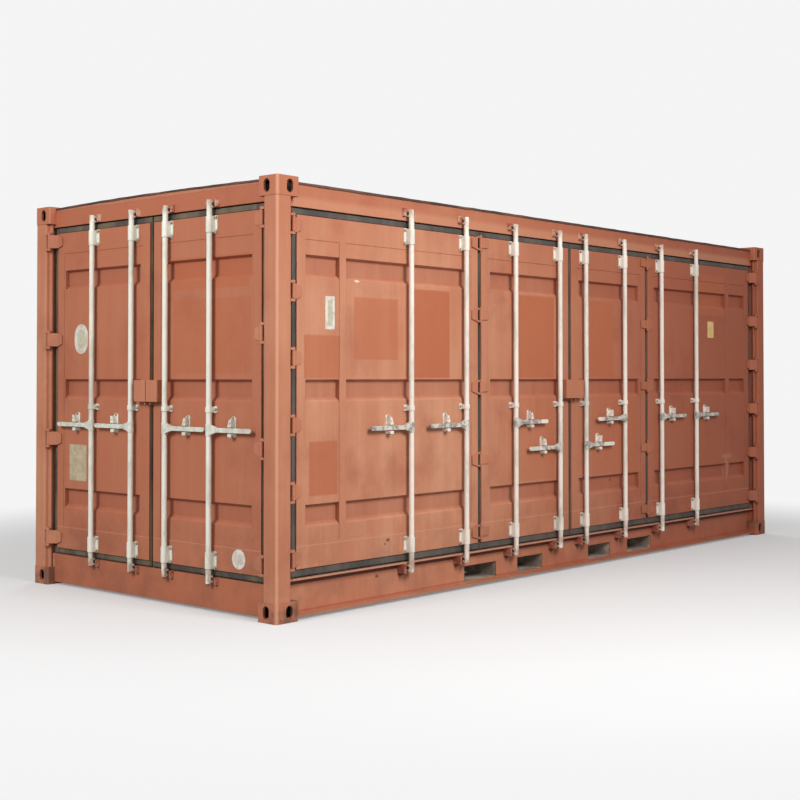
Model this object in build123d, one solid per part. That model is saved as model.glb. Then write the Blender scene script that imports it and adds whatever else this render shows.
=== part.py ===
from build123d import *
import os

# A 20 ft shipping container with a pair of hinged doors at its rear end
# and two pairs of folding doors along its right side.
# Millimetres. X runs along the length, Y across, Z up. The rear end is at
# -X, the right side at -Y, and the origin is the middle of the footprint.
# A size with _IN lies inboard of an edge, one with _OUT stands out from the
# door face, and one with _DROP lies below the top of the rails.

# Overall size of the box that the corner castings mark out
LENGTH = 6058.0
WIDTH = 2438.0
HEIGHT = 2591.0

# Corner castings: the block, its walls and its holes
CAST_L = 178.0
CAST_W = 162.0
CAST_H = 118.0
CAST_PLATE = 28.0
CAST_WALL = 18.0
CAST_BACK = 12.0
CAST_EDGE_R = 12.0
SLOT_L = 124.0
SLOT_W = 63.5
SLOT_FROM_END = 102.5
SLOT_FROM_SIDE = 89.5
SIDE_HOLE_W = 51.0
SIDE_HOLE_H = 79.5

# Corner posts: square tubes
POST_SIZE = 116.0
POST_WALL = 6.0
POST_INSET = 2.0
POST_EDGE_R = 14.0

# The bent bar on the door side of a post: nose, leg, and seat behind the door
JAMB_NOSE = 25.0
JAMB_FRONT = 30.0
JAMB_NOSE_T = 20.0
JAMB_NOSE_R = 8.0
JAMB_LEG_T = 8.0
WELD_IN = 5.0
SEAT_T = 6.0
SEAT_REACH = 60.0
SEAT_CLEAR = 7.0
UPSTAND = 34.0

# Depth of the doors behind the face of the castings, and what stands on them
DOOR_FACE = 55.0
DOOR_T = 50.0
BAR_OUT = 33.0
PIN_OUT = 42.0

# Rails: heights and depths
ROOF_DROP = 31.0
HEADER_H = 110.0
SIDE_HEADER_H = 136.0
SILL_TOP = 209.0
RAIL_BOTTOM = 17.0
RAIL_WALL = 5.0
LIP_TOP = 236.0
LIP_T = 10.0
LIP_OUT = 9.0
WEB_DEPTH = 95.0
WEB_T = 6.0
FLANGE_FRONT = 20.0
FLANGE_T = 10.0
GUSSET_T = 6.0
PLAIN_INSET = 8.0
PLAIN_RAIL_DEPTH = 60.0
PLAIN_RAIL_TOP = 165.0
PLAIN_RAIL_FLANGE = 48.0
PLAIN_TOP_H = 70.0

# Rubber seals round the doors
SEAL_W = 38.0
SIDE_SEAL_LOW_W = 46.0
SEAL_CLEAR = 8.0
SILL_CLEAR = 6.0
SEAL_OPENING = 12.0
SEAL_SPLIT = 2.0
SEAL_DEPTH = 62.0
SEAL_T = 36.0
SEAL_BEAD = 4.0
SEAL_BEAD_IN = 5.0

# Where the door leaves start and end along a face
PIN_IN = 25.0
END_LEAF_IN = 47.0
SIDE_LEAF_IN = 67.0
LEAF_GAP = 40.0
INNER_LEAF_W = 1043.0

# Door leaf: a pan of folded sheet, a panel set back in it, pressed troughs
LEAF_SHEET = 3.0
LEAF_RIM = 4.0
LEAF_FLANGE = 70.0
PANEL_STEP = 2.5
PANEL_STILE = 72.0
PANEL_LOW = 150.0
PANEL_HIGH = 140.0
TROUGH_LOW_Z = 596.0
TROUGH_DROP = 480.0
TROUGH_COUNT = 3
TROUGH_H = 134.0
TROUGH_DEPTH = 30.0
TROUGH_TOP_RUN = 12.0
TROUGH_LOW_RUN = 28.0
TROUGH_HINGE_IN = 85.0
TROUGH_SIDE_HINGE_IN = 76.0
TROUGH_FREE_IN = 100.0
JOINT_STRIP_IN = 390.0
JOINT_STRIP_W = 58.0

# Locking bars, their cams and handles
BAR_R = 17.0
BAR_BORE_R = 14.0
BAR_DROP = 64.0
BAR_BELOW_SILL = 37.0
CAM_END = 6.0
CAM_H = 42.0
CAM_W = 36.0
CAM_REACH = 28.0
CAM_SLOT_H = 20.0
HANDLE_H = 28.0
HANDLE_T = 12.0
HANDLE_Z = 1100.0
LOW_HANDLE_Z = 908.0
SIDE_HANDLE_L = 382.0
HUB_H = 72.0
HUB_TIP_H = 30.0
HUB_L = 68.0
HUB_T = 20.0
COLLAR_R = 20.0

# Places of the bars on the leaves
END_BAR_IN = 153.0
HANDLE_MARGIN = 50.0
HANDLE_GAP = 42.0
BAR_1_TO_2 = 563.0
BAR_2_IN = 163.0
BAR_3_TO_4 = 541.0
BAR_4_IN = 150.0

# Bearings that hold the bars to the leaves
BEARING_W = 84.0
BEARING_H = 108.0
BEARING_T = 6.0
BEARING_R = 10.0
BEARING_IN = 3.5
STRAP_T = 4.0
STRAP_CLEAR = 0.5
STRAP_H = 98.0
GUIDE_H = 40.0
GUIDE_R = 8.0
GUIDE_STRAP_H = 32.0
GUIDE_Z = 1222.0

# Retainers: a plate, a shelf behind the handle, and a lug above and below it
RETAINER_W = 46.0
RETAINER_H = 130.0
RETAINER_R = 22.0
RETAINER_RISE = 18.5
SHELF_W = 30.0
SHELF_CLEAR = 6.0
LUG_CLEAR = 5.0
CATCH_W = 34.0
CATCH_H = 47.0
CATCH_SLANT = 16.0
CATCH_HOLE_R = 5.0
REST_H = 21.0
REST_R = 8.0

# Keepers that the cams turn in: two ears
KEEPER_W = 110.0
KEEPER_TIP_W = 96.0
KEEPER_H = 50.0
KEEPER_OUT = 21.0
KEEPER_SCOOP_R = 36.0
KEEPER_SLOT_W = 32.0

# Hinges
HINGE_H = 124.0
HINGE_R = 12.0
LUG_H = 16.0
LUG_STEP = 2.0
BLADE_BEND = 57.0
BLADE_REACH = 100.0
BLADE_T = 9.0
BLADE_BACK = 16.0
BLADE_TIP_H = 58.0
PIN_R = 6.0
PIN_CLEAR = 0.6
PIN_END = 5.0
KNUCKLE_CLEAR = 1.0
END_HINGE_Z = 325.0
END_HINGE_DROP = 210.0
END_HINGE_COUNT = 4
SIDE_HINGE_Z = 354.0
SIDE_HINGE_DROP = 246.0
SIDE_HINGE_COUNT = 6
FOLD_HINGE_Z = 364.0
FOLD_HINGE_DROP = 224.0
FOLD_HINGE_COUNT = 5
FOLD_HINGE_H = 102.0
FOLD_HINGE_R = 11.0
FOLD_REACH = 90.0
FOLD_PIN_OUT = 10.0
FOLD_SLOT = 15.0

# Lock boxes over the middle of each pair of doors
BOX_BAR_GAP = 57.5
BOX_H = 138.0
BOX_Z = 1332.0
BOX_OUT = 49.0
BOX_WALL = 5.0
BOX_SPLIT = 7.0
HASP_T = 8.0
HASP_FROM = 26.0
HASP_BELOW = 20.0
HASP_H = 60.0
HASP_BACK = 14.0

# Corrugated walls and roof: flat, slope, far flat and depth of a wave
WALL_T = 2.0
WALL_INSET = 10.0
SIDE_FLAT = 72.0
SIDE_SLOPE = 68.0
SIDE_FAR_FLAT = 70.0
SIDE_WAVE_DEPTH = 36.0
FRONT_FLAT = 110.0
FRONT_SLOPE = 18.0
FRONT_FAR_FLAT = 104.0
FRONT_WAVE_DEPTH = 45.0
ROOF_FLAT = 91.0
ROOF_SLOPE = 13.5
ROOF_FAR_FLAT = 91.0
ROOF_WAVE_DEPTH = 18.0
ROOF_MARGIN = 120.0
ROOF_PLATE_T = 4.0
CAP_SIDE_H = 15.0
CAP_BELOW = 4.0

# Floor, cross members and forklift pockets
FLOOR_TOP = 173.0
FLOOR_T = 28.0
FLOOR_CLEAR = 4.0
CROSS_BOTTOM = 20.0
CROSS_FLANGE = 45.0
CROSS_WALL = 4.0
CROSS_COUNT = 19
CROSS_MARGIN = 240.0
OUTER_POCKET_PITCH = 2050.0
OUTER_POCKET_W = 355.0
INNER_POCKET_PITCH = 900.0
INNER_POCKET_W = 305.0
POCKET_BOTTOM = 35.0
POCKET_TOP = 137.0
POCKET_WALL = 6.0
POCKET_STRAP = 250.0

# How far a cutting block runs past what it cuts
PAST = 1.0

# Places that follow from the sizes above
X0 = -LENGTH / 2
Y0 = -WIDTH / 2
MID_SIDE = LENGTH / 2
MID_END = WIDTH / 2
POST_IN = POST_INSET + POST_SIZE
POST_ROOT = POST_IN - WELD_IN
DOOR_BACK = DOOR_FACE + DOOR_T
SEAT_DEPTH = DOOR_BACK + SEAT_CLEAR
SEAT_BACK = SEAT_DEPTH + SEAT_T
PANEL_FACE = DOOR_FACE + PANEL_STEP
BAR_DEPTH = DOOR_FACE - BAR_OUT
PIN_DEPTH = DOOR_FACE - PIN_OUT
PIN_AT = POST_IN + PIN_IN
LIP_FRONT = DOOR_FACE - LIP_OUT
LIP_LOW = LIP_TOP - LIP_T
RAIL_TOP = HEIGHT - ROOF_DROP
PLAIN_TOP_Z = RAIL_TOP - PLAIN_TOP_H
END_OPEN_TOP = RAIL_TOP - HEADER_H
SIDE_OPEN_TOP = RAIL_TOP - SIDE_HEADER_H
END_Z0 = SILL_TOP + SILL_CLEAR + SEAL_W
END_Z1 = END_OPEN_TOP - SEAL_CLEAR - SEAL_W
SIDE_Z0 = LIP_TOP + SEAL_CLEAR + SIDE_SEAL_LOW_W
SIDE_Z1 = SIDE_OPEN_TOP - SEAL_CLEAR - SEAL_W
END_A0 = PIN_AT + END_LEAF_IN
END_A1 = MID_END - LEAF_GAP / 2
OUTER_A0 = PIN_AT + SIDE_LEAF_IN
INNER_A1 = MID_SIDE - LEAF_GAP / 2
INNER_A0 = INNER_A1 - INNER_LEAF_W
FOLD_AT = INNER_A0 - LEAF_GAP / 2
OUTER_A1 = FOLD_AT - LEAF_GAP / 2
BAR_TOP = RAIL_TOP - BAR_DROP
BAR_BOTTOM = SILL_TOP - BAR_BELOW_SILL
END_HANDLE_L = (END_A1 - END_A0 - END_BAR_IN - HANDLE_GAP - HANDLE_MARGIN) / 2
END_OUTER_BAR = END_A0 + HANDLE_MARGIN + END_HANDLE_L
END_INNER_BAR = END_A1 - END_BAR_IN
SIDE_BAR_2 = OUTER_A1 - BAR_2_IN
SIDE_BAR_1 = SIDE_BAR_2 - BAR_1_TO_2
SIDE_BAR_4 = INNER_A1 - BAR_4_IN
SIDE_BAR_3 = SIDE_BAR_4 - BAR_3_TO_4

# The bars of one folding pair: place, height of the handle, way it points
SIDE_BARS = [(SIDE_BAR_1, HANDLE_Z, -1), (SIDE_BAR_2, HANDLE_Z, -1),
             (SIDE_BAR_3, HANDLE_Z, 1), (SIDE_BAR_4, LOW_HANDLE_Z, -1)]


def block(a0, a1, d0, d1, z0, z1):
    """A block by its limits: along the right side, behind its face, up."""
    size = (a1 - a0, d1 - d0, z1 - z0)
    place = (X0 + (a0 + a1) / 2, Y0 + (d0 + d1) / 2, (z0 + z1) / 2)
    return Pos(*place) * Box(*size)


def upright(a, d, z0, z1, radius):
    """A round bar along Z at a place on the right side."""
    place = (X0 + a, Y0 + d, (z0 + z1) / 2)
    return Pos(*place) * Cylinder(radius, z1 - z0)


def facing(a, z, d):
    """A plane on the right side at a depth, looking into the container."""
    return Plane(origin=(X0 + a, Y0 + d, z), x_dir=(1, 0, 0), z_dir=(0, 1, 0))


def plate(a, z, width, height, radius, d0, d1):
    """A plate with rounded corners, parallel to the side, by its middle."""
    return extrude(facing(a, z, d0) * RectangleRounded(width, height, radius), d1 - d0)


def disc(a, z, radius, d0, d1):
    """A short round bar across the side, such as a hole or a rounded end."""
    return extrude(facing(a, z, d0) * Circle(radius), d1 - d0)


def rear(piece):
    """Turn a piece of the right side into one of the rear end."""
    return mirror(piece, about=Plane(origin=(X0, Y0, 0), z_dir=(1, -1, 0)))


def across(piece):
    """The same piece on the other side of the container."""
    return mirror(piece, about=Plane.XZ)


def along(piece):
    """The same piece at the other end of the container."""
    return mirror(piece, about=Plane.YZ)


def join(parts):
    whole = parts[0]
    for part in parts[1:]:
        whole = whole + part
    return whole


def spread(first, last, count):
    """Heights at even steps from the first to the last."""
    return [first + (last - first) * i / (count - 1) for i in range(count)]


def plan(points, z0, z1):
    """An upright prism on an outline seen from above, on the right side."""
    outline = [(X0 + a, Y0 + d) for a, d in points]
    face = make_face(Polyline(*outline, close=True))
    return extrude(Pos(0, 0, z0) * face, z1 - z0)


def front(points, d0, d1):
    """A prism between two depths, on an outline of places and heights."""
    plane = Plane(origin=(X0, Y0 + d0, 0), x_dir=(1, 0, 0), z_dir=(0, -1, 0))
    face = plane * make_face(Polyline(*points, close=True))
    return extrude(face, d1 - d0, dir=(0, 1, 0))


def section(points, a0, a1):
    """A rail along the right side, on an outline of depths and heights."""
    outline = [(Y0 + d, z) for d, z in points]
    plane = Plane(origin=(X0 + a0, 0, 0), x_dir=(0, 1, 0), z_dir=(1, 0, 0))
    face = plane * make_face(Polyline(*outline, close=True))
    return extrude(face, a1 - a0, dir=(1, 0, 0))


# Corner castings

def casting():
    """The bottom casting at the rear right corner, hollow, with three holes."""
    body = block(0, CAST_L, 0, CAST_W, 0, CAST_H)
    body = fillet(body.edges().filter_by(Axis.Z), CAST_EDGE_R)
    body -= block(CAST_WALL, CAST_L - CAST_BACK, CAST_WALL, CAST_W - CAST_BACK,
                  CAST_PLATE, CAST_H - CAST_BACK)
    slot = SlotOverall(SLOT_L, SLOT_W)
    body -= extrude(Pos(X0 + SLOT_FROM_END, Y0 + SLOT_FROM_SIDE, 0) * slot, CAST_PLATE)
    hole = Rot(0, 0, 90) * SlotOverall(SIDE_HOLE_H, SIDE_HOLE_W)
    end_face = Plane(origin=(X0, Y0 + SLOT_FROM_SIDE, CAST_H / 2),
                     x_dir=(0, 1, 0), z_dir=(1, 0, 0))
    body -= extrude(facing(SLOT_FROM_END, CAST_H / 2, 0) * hole, CAST_WALL)
    body -= extrude(end_face * hole, CAST_WALL)
    return body


def four_corners(piece):
    return [piece, across(piece), along(piece), along(across(piece))]


def bottom_castings():
    return four_corners(casting())


def top_castings():
    flipped = mirror(casting(), about=Plane(origin=(0, 0, HEIGHT / 2), z_dir=(0, 0, 1)))
    return four_corners(flipped)


def clear_of_castings(piece):
    """Cut away the room that the eight castings fill."""
    low = block(0, CAST_L, 0, CAST_W, 0, CAST_H)
    high = block(0, CAST_L, 0, CAST_W, HEIGHT - CAST_H, HEIGHT)
    for blank in four_corners(low) + four_corners(high):
        piece = piece - blank
    return piece


# Corner posts

def post_tube():
    shell = block(POST_INSET, POST_IN, POST_INSET, POST_IN, CAST_H, HEIGHT - CAST_H)
    shell = fillet(shell.edges().filter_by(Axis.Z), POST_EDGE_R)
    lo = POST_INSET + POST_WALL
    hi = POST_IN - POST_WALL
    bore = block(lo, hi, lo, hi, CAST_H, HEIGHT - CAST_H)
    bore = fillet(bore.edges().filter_by(Axis.Z), POST_EDGE_R - POST_WALL)
    return shell - bore


def jamb():
    """The bent bar that the edge of a door closes against, let into the post."""
    nose = POST_IN + JAMB_NOSE
    leg = POST_IN + JAMB_LEG_T
    nose_back = JAMB_FRONT + JAMB_NOSE_T
    points = [(POST_IN, JAMB_FRONT), (nose, JAMB_FRONT), (nose, nose_back), (leg, nose_back),
              (leg, SEAT_DEPTH), (POST_IN + SEAT_REACH, SEAT_DEPTH),
              (POST_IN + SEAT_REACH, SEAT_BACK), (POST_ROOT, SEAT_BACK),
              (POST_ROOT, POST_ROOT - POST_EDGE_R), (POST_IN, POST_ROOT - POST_EDGE_R)]
    bar = plan(points, CAST_H, HEIGHT - CAST_H)
    tip = bar.edges().filter_by(Axis.Z).group_by(Axis.X)[-2]
    return fillet(tip, JAMB_NOSE_R)


def hinge_lugs(heights):
    """Pairs of lugs on the side of the post, one above and one below each blade."""
    lugs = []
    for z in heights:
        for z0 in (z - HINGE_H / 2, z + HINGE_H / 2 - LUG_H):
            arm = block(POST_ROOT, PIN_AT, PIN_DEPTH - HINGE_R + LUG_STEP,
                        JAMB_FRONT + LUG_STEP, z0, z0 + LUG_H)
            eye = upright(PIN_AT, PIN_DEPTH, z0, z0 + LUG_H, HINGE_R)
            bore = upright(PIN_AT, PIN_DEPTH, z0, z0 + LUG_H, PIN_R + PIN_CLEAR)
            lugs.append(arm + eye - bore)
    return lugs


def end_hinge_heights():
    return spread(END_HINGE_Z, RAIL_TOP - END_HINGE_DROP, END_HINGE_COUNT)


def side_hinge_heights():
    return spread(SIDE_HINGE_Z, RAIL_TOP - SIDE_HINGE_DROP, SIDE_HINGE_COUNT)


def fold_hinge_heights():
    return spread(FOLD_HINGE_Z, RAIL_TOP - FOLD_HINGE_DROP, FOLD_HINGE_COUNT)


def gusset(inner, d0, d1, z0, z1, edge_z):
    """Two plates that close the corner between a post, a casting and a rail."""
    face = block(POST_ROOT, inner, d0, d0 + GUSSET_T, z0, z1)
    return face + block(POST_ROOT, inner, d0, d1, edge_z, edge_z + GUSSET_T)


def end_gussets():
    high = gusset(CAST_W, DOOR_FACE, SEAT_DEPTH, END_OPEN_TOP, HEIGHT - CAST_H, END_OPEN_TOP)
    low = gusset(CAST_W, DOOR_FACE, SEAT_DEPTH, CAST_H, SILL_TOP, SILL_TOP - GUSSET_T)
    return [high, low]


def side_gussets():
    high = gusset(CAST_L, DOOR_FACE, SEAT_DEPTH, SIDE_OPEN_TOP, HEIGHT - CAST_H, SIDE_OPEN_TOP)
    web = block(POST_ROOT, CAST_L, WEB_DEPTH, WEB_DEPTH + WEB_T, CAST_H, LIP_LOW)
    lip = block(POST_ROOT, CAST_L, LIP_FRONT, SEAT_DEPTH, LIP_LOW, LIP_TOP)
    return [high, web, lip]


def plain_gusset():
    return gusset(CAST_L, PLAIN_INSET, PLAIN_INSET + PLAIN_RAIL_FLANGE, CAST_H,
                  PLAIN_RAIL_TOP, PLAIN_RAIL_TOP - GUSSET_T)


def end_frame():
    """What a rear post carries on its side towards the rear doors."""
    return [rear(piece) for piece in [jamb()] + end_gussets() + hinge_lugs(end_hinge_heights())]


def side_frame():
    """What a right post carries on its side towards the folding doors."""
    return [jamb()] + side_gussets() + hinge_lugs(side_hinge_heights())


def rear_posts():
    right = join([post_tube()] + side_frame() + end_frame())
    left = across(join([post_tube(), plain_gusset()] + end_frame()))
    return [right, left]


def front_posts():
    right = along(join([post_tube()] + side_frame()))
    left = along(across(post_tube() + plain_gusset()))
    return [right, left]


# Rails

def box_rail(a0, a1, d0, d1, z0, z1):
    """A hollow rail, open at its two ends."""
    w = RAIL_WALL
    return block(a0, a1, d0, d1, z0, z1) - block(a0, a1, d0 + w, d1 - w, z0 + w, z1 - w)


def end_seat(z0, z1):
    """The upright strip behind the seals of the rear doors."""
    start = POST_IN + SEAT_REACH
    return block(start, WIDTH - start, SEAT_DEPTH, SEAT_BACK, z0, z1)


def door_header():
    low = END_OPEN_TOP
    rail = box_rail(CAST_W, WIDTH - CAST_W, DOOR_FACE, SEAT_DEPTH, low, RAIL_TOP)
    return [rear(rail + end_seat(low - UPSTAND, low + RAIL_WALL))]


def door_sill():
    rail = box_rail(CAST_W, WIDTH - CAST_W, DOOR_FACE, SEAT_DEPTH, RAIL_BOTTOM, SILL_TOP)
    return [rear(rail + end_seat(SILL_TOP - RAIL_WALL, SILL_TOP + UPSTAND))]


def front_end_rails():
    back = PLAIN_INSET + PLAIN_RAIL_DEPTH
    low = box_rail(POST_IN, WIDTH - POST_IN, PLAIN_INSET, back, RAIL_BOTTOM, PLAIN_RAIL_TOP)
    high = box_rail(CAST_W, WIDTH - CAST_W, PLAIN_INSET, back, PLAIN_TOP_Z, RAIL_TOP)
    return [clear_of_castings(along(rear(low))), along(rear(high))]


def top_side_rails():
    low = SIDE_OPEN_TOP
    start = POST_IN + SEAT_REACH
    right = box_rail(CAST_L, LENGTH - CAST_L, DOOR_FACE, SEAT_DEPTH, low, RAIL_TOP)
    right += block(start, LENGTH - start, SEAT_DEPTH, SEAT_BACK, low - UPSTAND, low + RAIL_WALL)
    back = PLAIN_INSET + PLAIN_RAIL_DEPTH
    left = across(box_rail(CAST_L, LENGTH - CAST_L, PLAIN_INSET, back, PLAIN_TOP_Z, RAIL_TOP))
    return [right, left]


def pocket_places():
    """The middle and width of each forklift pocket, from the rear end."""
    places = []
    for way in (-1, 1):
        places.append((MID_SIDE + way * OUTER_POCKET_PITCH / 2, OUTER_POCKET_W))
        places.append((MID_SIDE + way * INNER_POCKET_PITCH / 2, INNER_POCKET_W))
    return places


def cut_pockets(rail, d0, d1):
    for middle, width in pocket_places():
        rail -= block(middle - width / 2, middle + width / 2, d0 - PAST, d1 + PAST,
                      POCKET_BOTTOM, POCKET_TOP)
    return rail


def right_bottom_rail():
    """An outward channel with a rain lip, and an upstand behind the seals."""
    low = RAIL_BOTTOM
    web = WEB_DEPTH
    back = WEB_DEPTH + WEB_T
    points = [(FLANGE_FRONT, low), (back, low), (back, LIP_LOW),
              (SEAT_BACK, LIP_LOW), (SEAT_BACK, LIP_TOP + UPSTAND),
              (SEAT_DEPTH, LIP_TOP + UPSTAND), (SEAT_DEPTH, LIP_TOP),
              (LIP_FRONT, LIP_TOP), (LIP_FRONT, LIP_LOW),
              (web, LIP_LOW), (web, low + FLANGE_T), (FLANGE_FRONT, low + FLANGE_T)]
    return [cut_pockets(section(points, CAST_L, LENGTH - CAST_L), web, back)]


def left_bottom_rail():
    """A plain channel, its flanges turned inwards."""
    low = RAIL_BOTTOM
    high = PLAIN_RAIL_TOP
    d0 = PLAIN_INSET
    w = WEB_T
    reach = PLAIN_RAIL_FLANGE
    points = [(d0, low), (d0 + reach, low), (d0 + reach, low + w), (d0 + w, low + w),
              (d0 + w, high - w), (d0 + reach, high - w), (d0 + reach, high), (d0, high)]
    return [across(cut_pockets(section(points, CAST_L, LENGTH - CAST_L), d0, d0 + w))]


# Corrugated sheets

def wave(start, end, near, flat, slope, far_flat, depth):
    """The outline of a corrugated sheet: one flat, one slope, one far flat, one slope."""
    pitch = flat + slope + far_flat + slope
    count = max(1, round((end - start - flat) / pitch))
    stretch = (end - start - flat) / (count * pitch)
    line = [(start, near)]
    for i in range(count):
        a1 = start + i * pitch * stretch + flat
        a2 = a1 + slope * stretch
        a3 = a2 + far_flat * stretch
        a4 = a3 + slope * stretch
        line += [(a1, near), (a2, near + depth), (a3, near + depth), (a4, near)]
    line.append((end, near))
    return line + [(a, d + WALL_T) for a, d in reversed(line)]


def left_wall():
    points = wave(POST_IN, LENGTH - POST_IN, WALL_INSET, SIDE_FLAT, SIDE_SLOPE,
                  SIDE_FAR_FLAT, SIDE_WAVE_DEPTH)
    return [clear_of_castings(across(plan(points, PLAIN_RAIL_TOP, PLAIN_TOP_Z)))]


def front_wall():
    points = wave(POST_IN, WIDTH - POST_IN, WALL_INSET, FRONT_FLAT, FRONT_SLOPE,
                  FRONT_FAR_FLAT, FRONT_WAVE_DEPTH)
    return [clear_of_castings(along(rear(plan(points, PLAIN_RAIL_TOP, PLAIN_TOP_Z))))]


def roof():
    """A sheet between the end castings, flat at its long edges, with ribs across it."""
    start = CAST_L
    end = LENGTH - CAST_L
    points = wave(start, end, RAIL_TOP, ROOF_FLAT, ROOF_SLOPE, ROOF_FAR_FLAT, ROOF_WAVE_DEPTH)
    near = DOOR_FACE + ROOF_MARGIN
    far = WIDTH - PLAIN_INSET - ROOF_MARGIN
    sheet = front(points, near, far)
    upper = points[len(points) // 2:]
    filled = upper + [(start, RAIL_TOP), (end, RAIL_TOP)]
    for d0, d1, rib_end in ((DOOR_FACE, near, near - WALL_T), (far, WIDTH - PLAIN_INSET, far)):
        sheet += block(start, end, d0, d1, RAIL_TOP, RAIL_TOP + WALL_T)
        sheet += front(filled, rib_end, rib_end + WALL_T)
    return [sheet]


def bowed(d0, d1, inset):
    """A prism under a bowed top line, from casting to casting of the rear end."""
    v0 = CAST_W + inset
    v1 = WIDTH - CAST_W - inset
    side_z = RAIL_TOP + CAP_SIDE_H - inset
    bow = ThreePointArc((v0, side_z), (MID_END, HEIGHT - CAP_BELOW - inset), (v1, side_z))
    rest = Polyline((v1, side_z), (v1, RAIL_TOP), (v0, RAIL_TOP), (v0, side_z))
    plane = Plane(origin=(X0, Y0 + d0, 0), x_dir=(1, 0, 0), z_dir=(0, -1, 0))
    return rear(extrude(plane * make_face(bow + rest), d1 - d0, dir=(0, 1, 0)))


def roof_end_cap(d0):
    """A hollow cap of sheet on the header, from a depth to the end of the castings."""
    room = bowed(d0 + ROOF_PLATE_T, CAST_L - ROOF_PLATE_T, ROOF_PLATE_T)
    return bowed(d0, CAST_L, 0) - room


def roof_end_plates():
    """The bowed plates that close the roof at each end."""
    return [roof_end_cap(DOOR_FACE), along(roof_end_cap(PLAIN_INSET))]


# Floor and what carries it

def inner_left():
    """How far from the right face the inside of the left bottom rail lies."""
    return WIDTH - PLAIN_INSET - WEB_T


def floor():
    side = WIDTH - WALL_INSET - SIDE_WAVE_DEPTH - WALL_T - FLOOR_CLEAR
    front_end = LENGTH - PLAIN_INSET - PLAIN_RAIL_DEPTH
    boards = block(SEAT_BACK, front_end, SEAT_BACK, side, FLOOR_TOP - FLOOR_T, FLOOR_TOP)
    for blank in four_corners(block(0, POST_IN, 0, POST_IN, 0, HEIGHT)):
        boards = boards - blank
    flange = PLAIN_INSET + PLAIN_RAIL_FLANGE
    return [boards - across(block(0, LENGTH, 0, flange, 0, PLAIN_RAIL_TOP))]


def cross_members():
    """Channels across the bottom, left out where a pocket runs."""
    members = []
    top = FLOOR_TOP - FLOOR_T
    far = inner_left()
    for middle in spread(CROSS_MARGIN, LENGTH - CROSS_MARGIN, CROSS_COUNT):
        room = CROSS_FLANGE + POCKET_WALL
        if any(abs(middle - m) < w / 2 + room for m, w in pocket_places()):
            continue
        a = middle - CROSS_FLANGE / 2
        whole = block(a, a + CROSS_FLANGE, WEB_DEPTH + WEB_T, far, CROSS_BOTTOM, top)
        hollow = block(a + CROSS_WALL, a + CROSS_FLANGE, WEB_DEPTH, far + PAST,
                       CROSS_BOTTOM + CROSS_WALL, top - CROSS_WALL)
        flange = block(a, a + CROSS_FLANGE, far - PLAIN_RAIL_FLANGE + WEB_T, far,
                       0, RAIL_BOTTOM + WEB_T)
        members.append(whole - hollow - flange)
    return members


def fork_pockets():
    """Tunnels of bent plate through the whole width, strapped underneath at the ends."""
    tunnels = []
    d0 = WEB_DEPTH + WEB_T
    d1 = inner_left()
    w = POCKET_WALL
    for middle, width in pocket_places():
        a0 = middle - width / 2
        a1 = middle + width / 2
        hood = block(a0 - w, a1 + w, d0, d1, POCKET_BOTTOM, POCKET_TOP + w)
        hood -= block(a0, a1, d0, d1, POCKET_BOTTOM, POCKET_TOP)
        near = block(a0 - w, a1 + w, d0, d0 + POCKET_STRAP, POCKET_BOTTOM - w, POCKET_BOTTOM)
        far = block(a0 - w, a1 + w, d1 - POCKET_STRAP, d1, POCKET_BOTTOM - w, POCKET_BOTTOM)
        tunnels.append(hood + near + far)
    return tunnels


# Door leaves

def trough(a0, a1, z, grow):
    """The space of one pressed trough, or with grow the metal round it."""
    half = TROUGH_H / 2 + grow
    back = PANEL_FACE + TROUGH_DEPTH + grow
    points = [(PANEL_FACE, z - half), (back, z - half + TROUGH_LOW_RUN),
              (back, z + half - TROUGH_TOP_RUN), (PANEL_FACE, z + half)]
    return section(points, a0 - grow, a1 + grow)


def leaf(a0, a1, z0, z1, spans, strips):
    """A pan with a rim and a flange behind, troughs pressed in its set-back panel.

    The strips are upright bands of the panel that stay level with the pan.
    """
    pan = block(a0, a1, DOOR_FACE, DOOR_BACK, z0, z1)
    pan -= block(a0 + LEAF_RIM, a1 - LEAF_RIM, DOOR_FACE + LEAF_SHEET,
                 DOOR_BACK - LEAF_RIM, z0 + LEAF_RIM, z1 - LEAF_RIM)
    pan -= block(a0 + LEAF_FLANGE, a1 - LEAF_FLANGE, DOOR_BACK - LEAF_RIM - PAST,
                 DOOR_BACK + PAST, z0 + LEAF_FLANGE, z1 - LEAF_FLANGE)
    left = a0 + PANEL_STILE
    right = a1 - PANEL_STILE
    low = z0 + PANEL_LOW
    high = z1 - PANEL_HIGH
    pan += block(left - LEAF_SHEET, right + LEAF_SHEET, DOOR_FACE, PANEL_FACE + LEAF_SHEET,
                 low - LEAF_SHEET, high + LEAF_SHEET)
    heights = spread(TROUGH_LOW_Z, RAIL_TOP - TROUGH_DROP, TROUGH_COUNT)
    places = [(s0, s1, z) for z in heights for s0, s1 in spans]
    for place in places:
        pan += trough(*place, LEAF_SHEET)
    edges = [left] + [edge for strip in strips for edge in strip] + [right]
    for start, end in zip(edges[::2], edges[1::2]):
        pan -= block(start, end, DOOR_FACE - PAST, PANEL_FACE, low, high)
    for place in places:
        pan -= trough(*place, 0)
    return pan


def ring(limits, reach, d0, d1, inset):
    """A flat frame round a leaf, drawn in by inset from both its edges."""
    a0, a1, z0, z1 = limits
    left, right, low, high = reach
    outer = block(a0 - left + inset, a1 + right - inset, d0, d1,
                  z0 - low + inset, z1 + high - inset)
    return outer - block(a0 - inset, a1 + inset, d0, d1, z0 - inset, z1 + inset)


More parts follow.
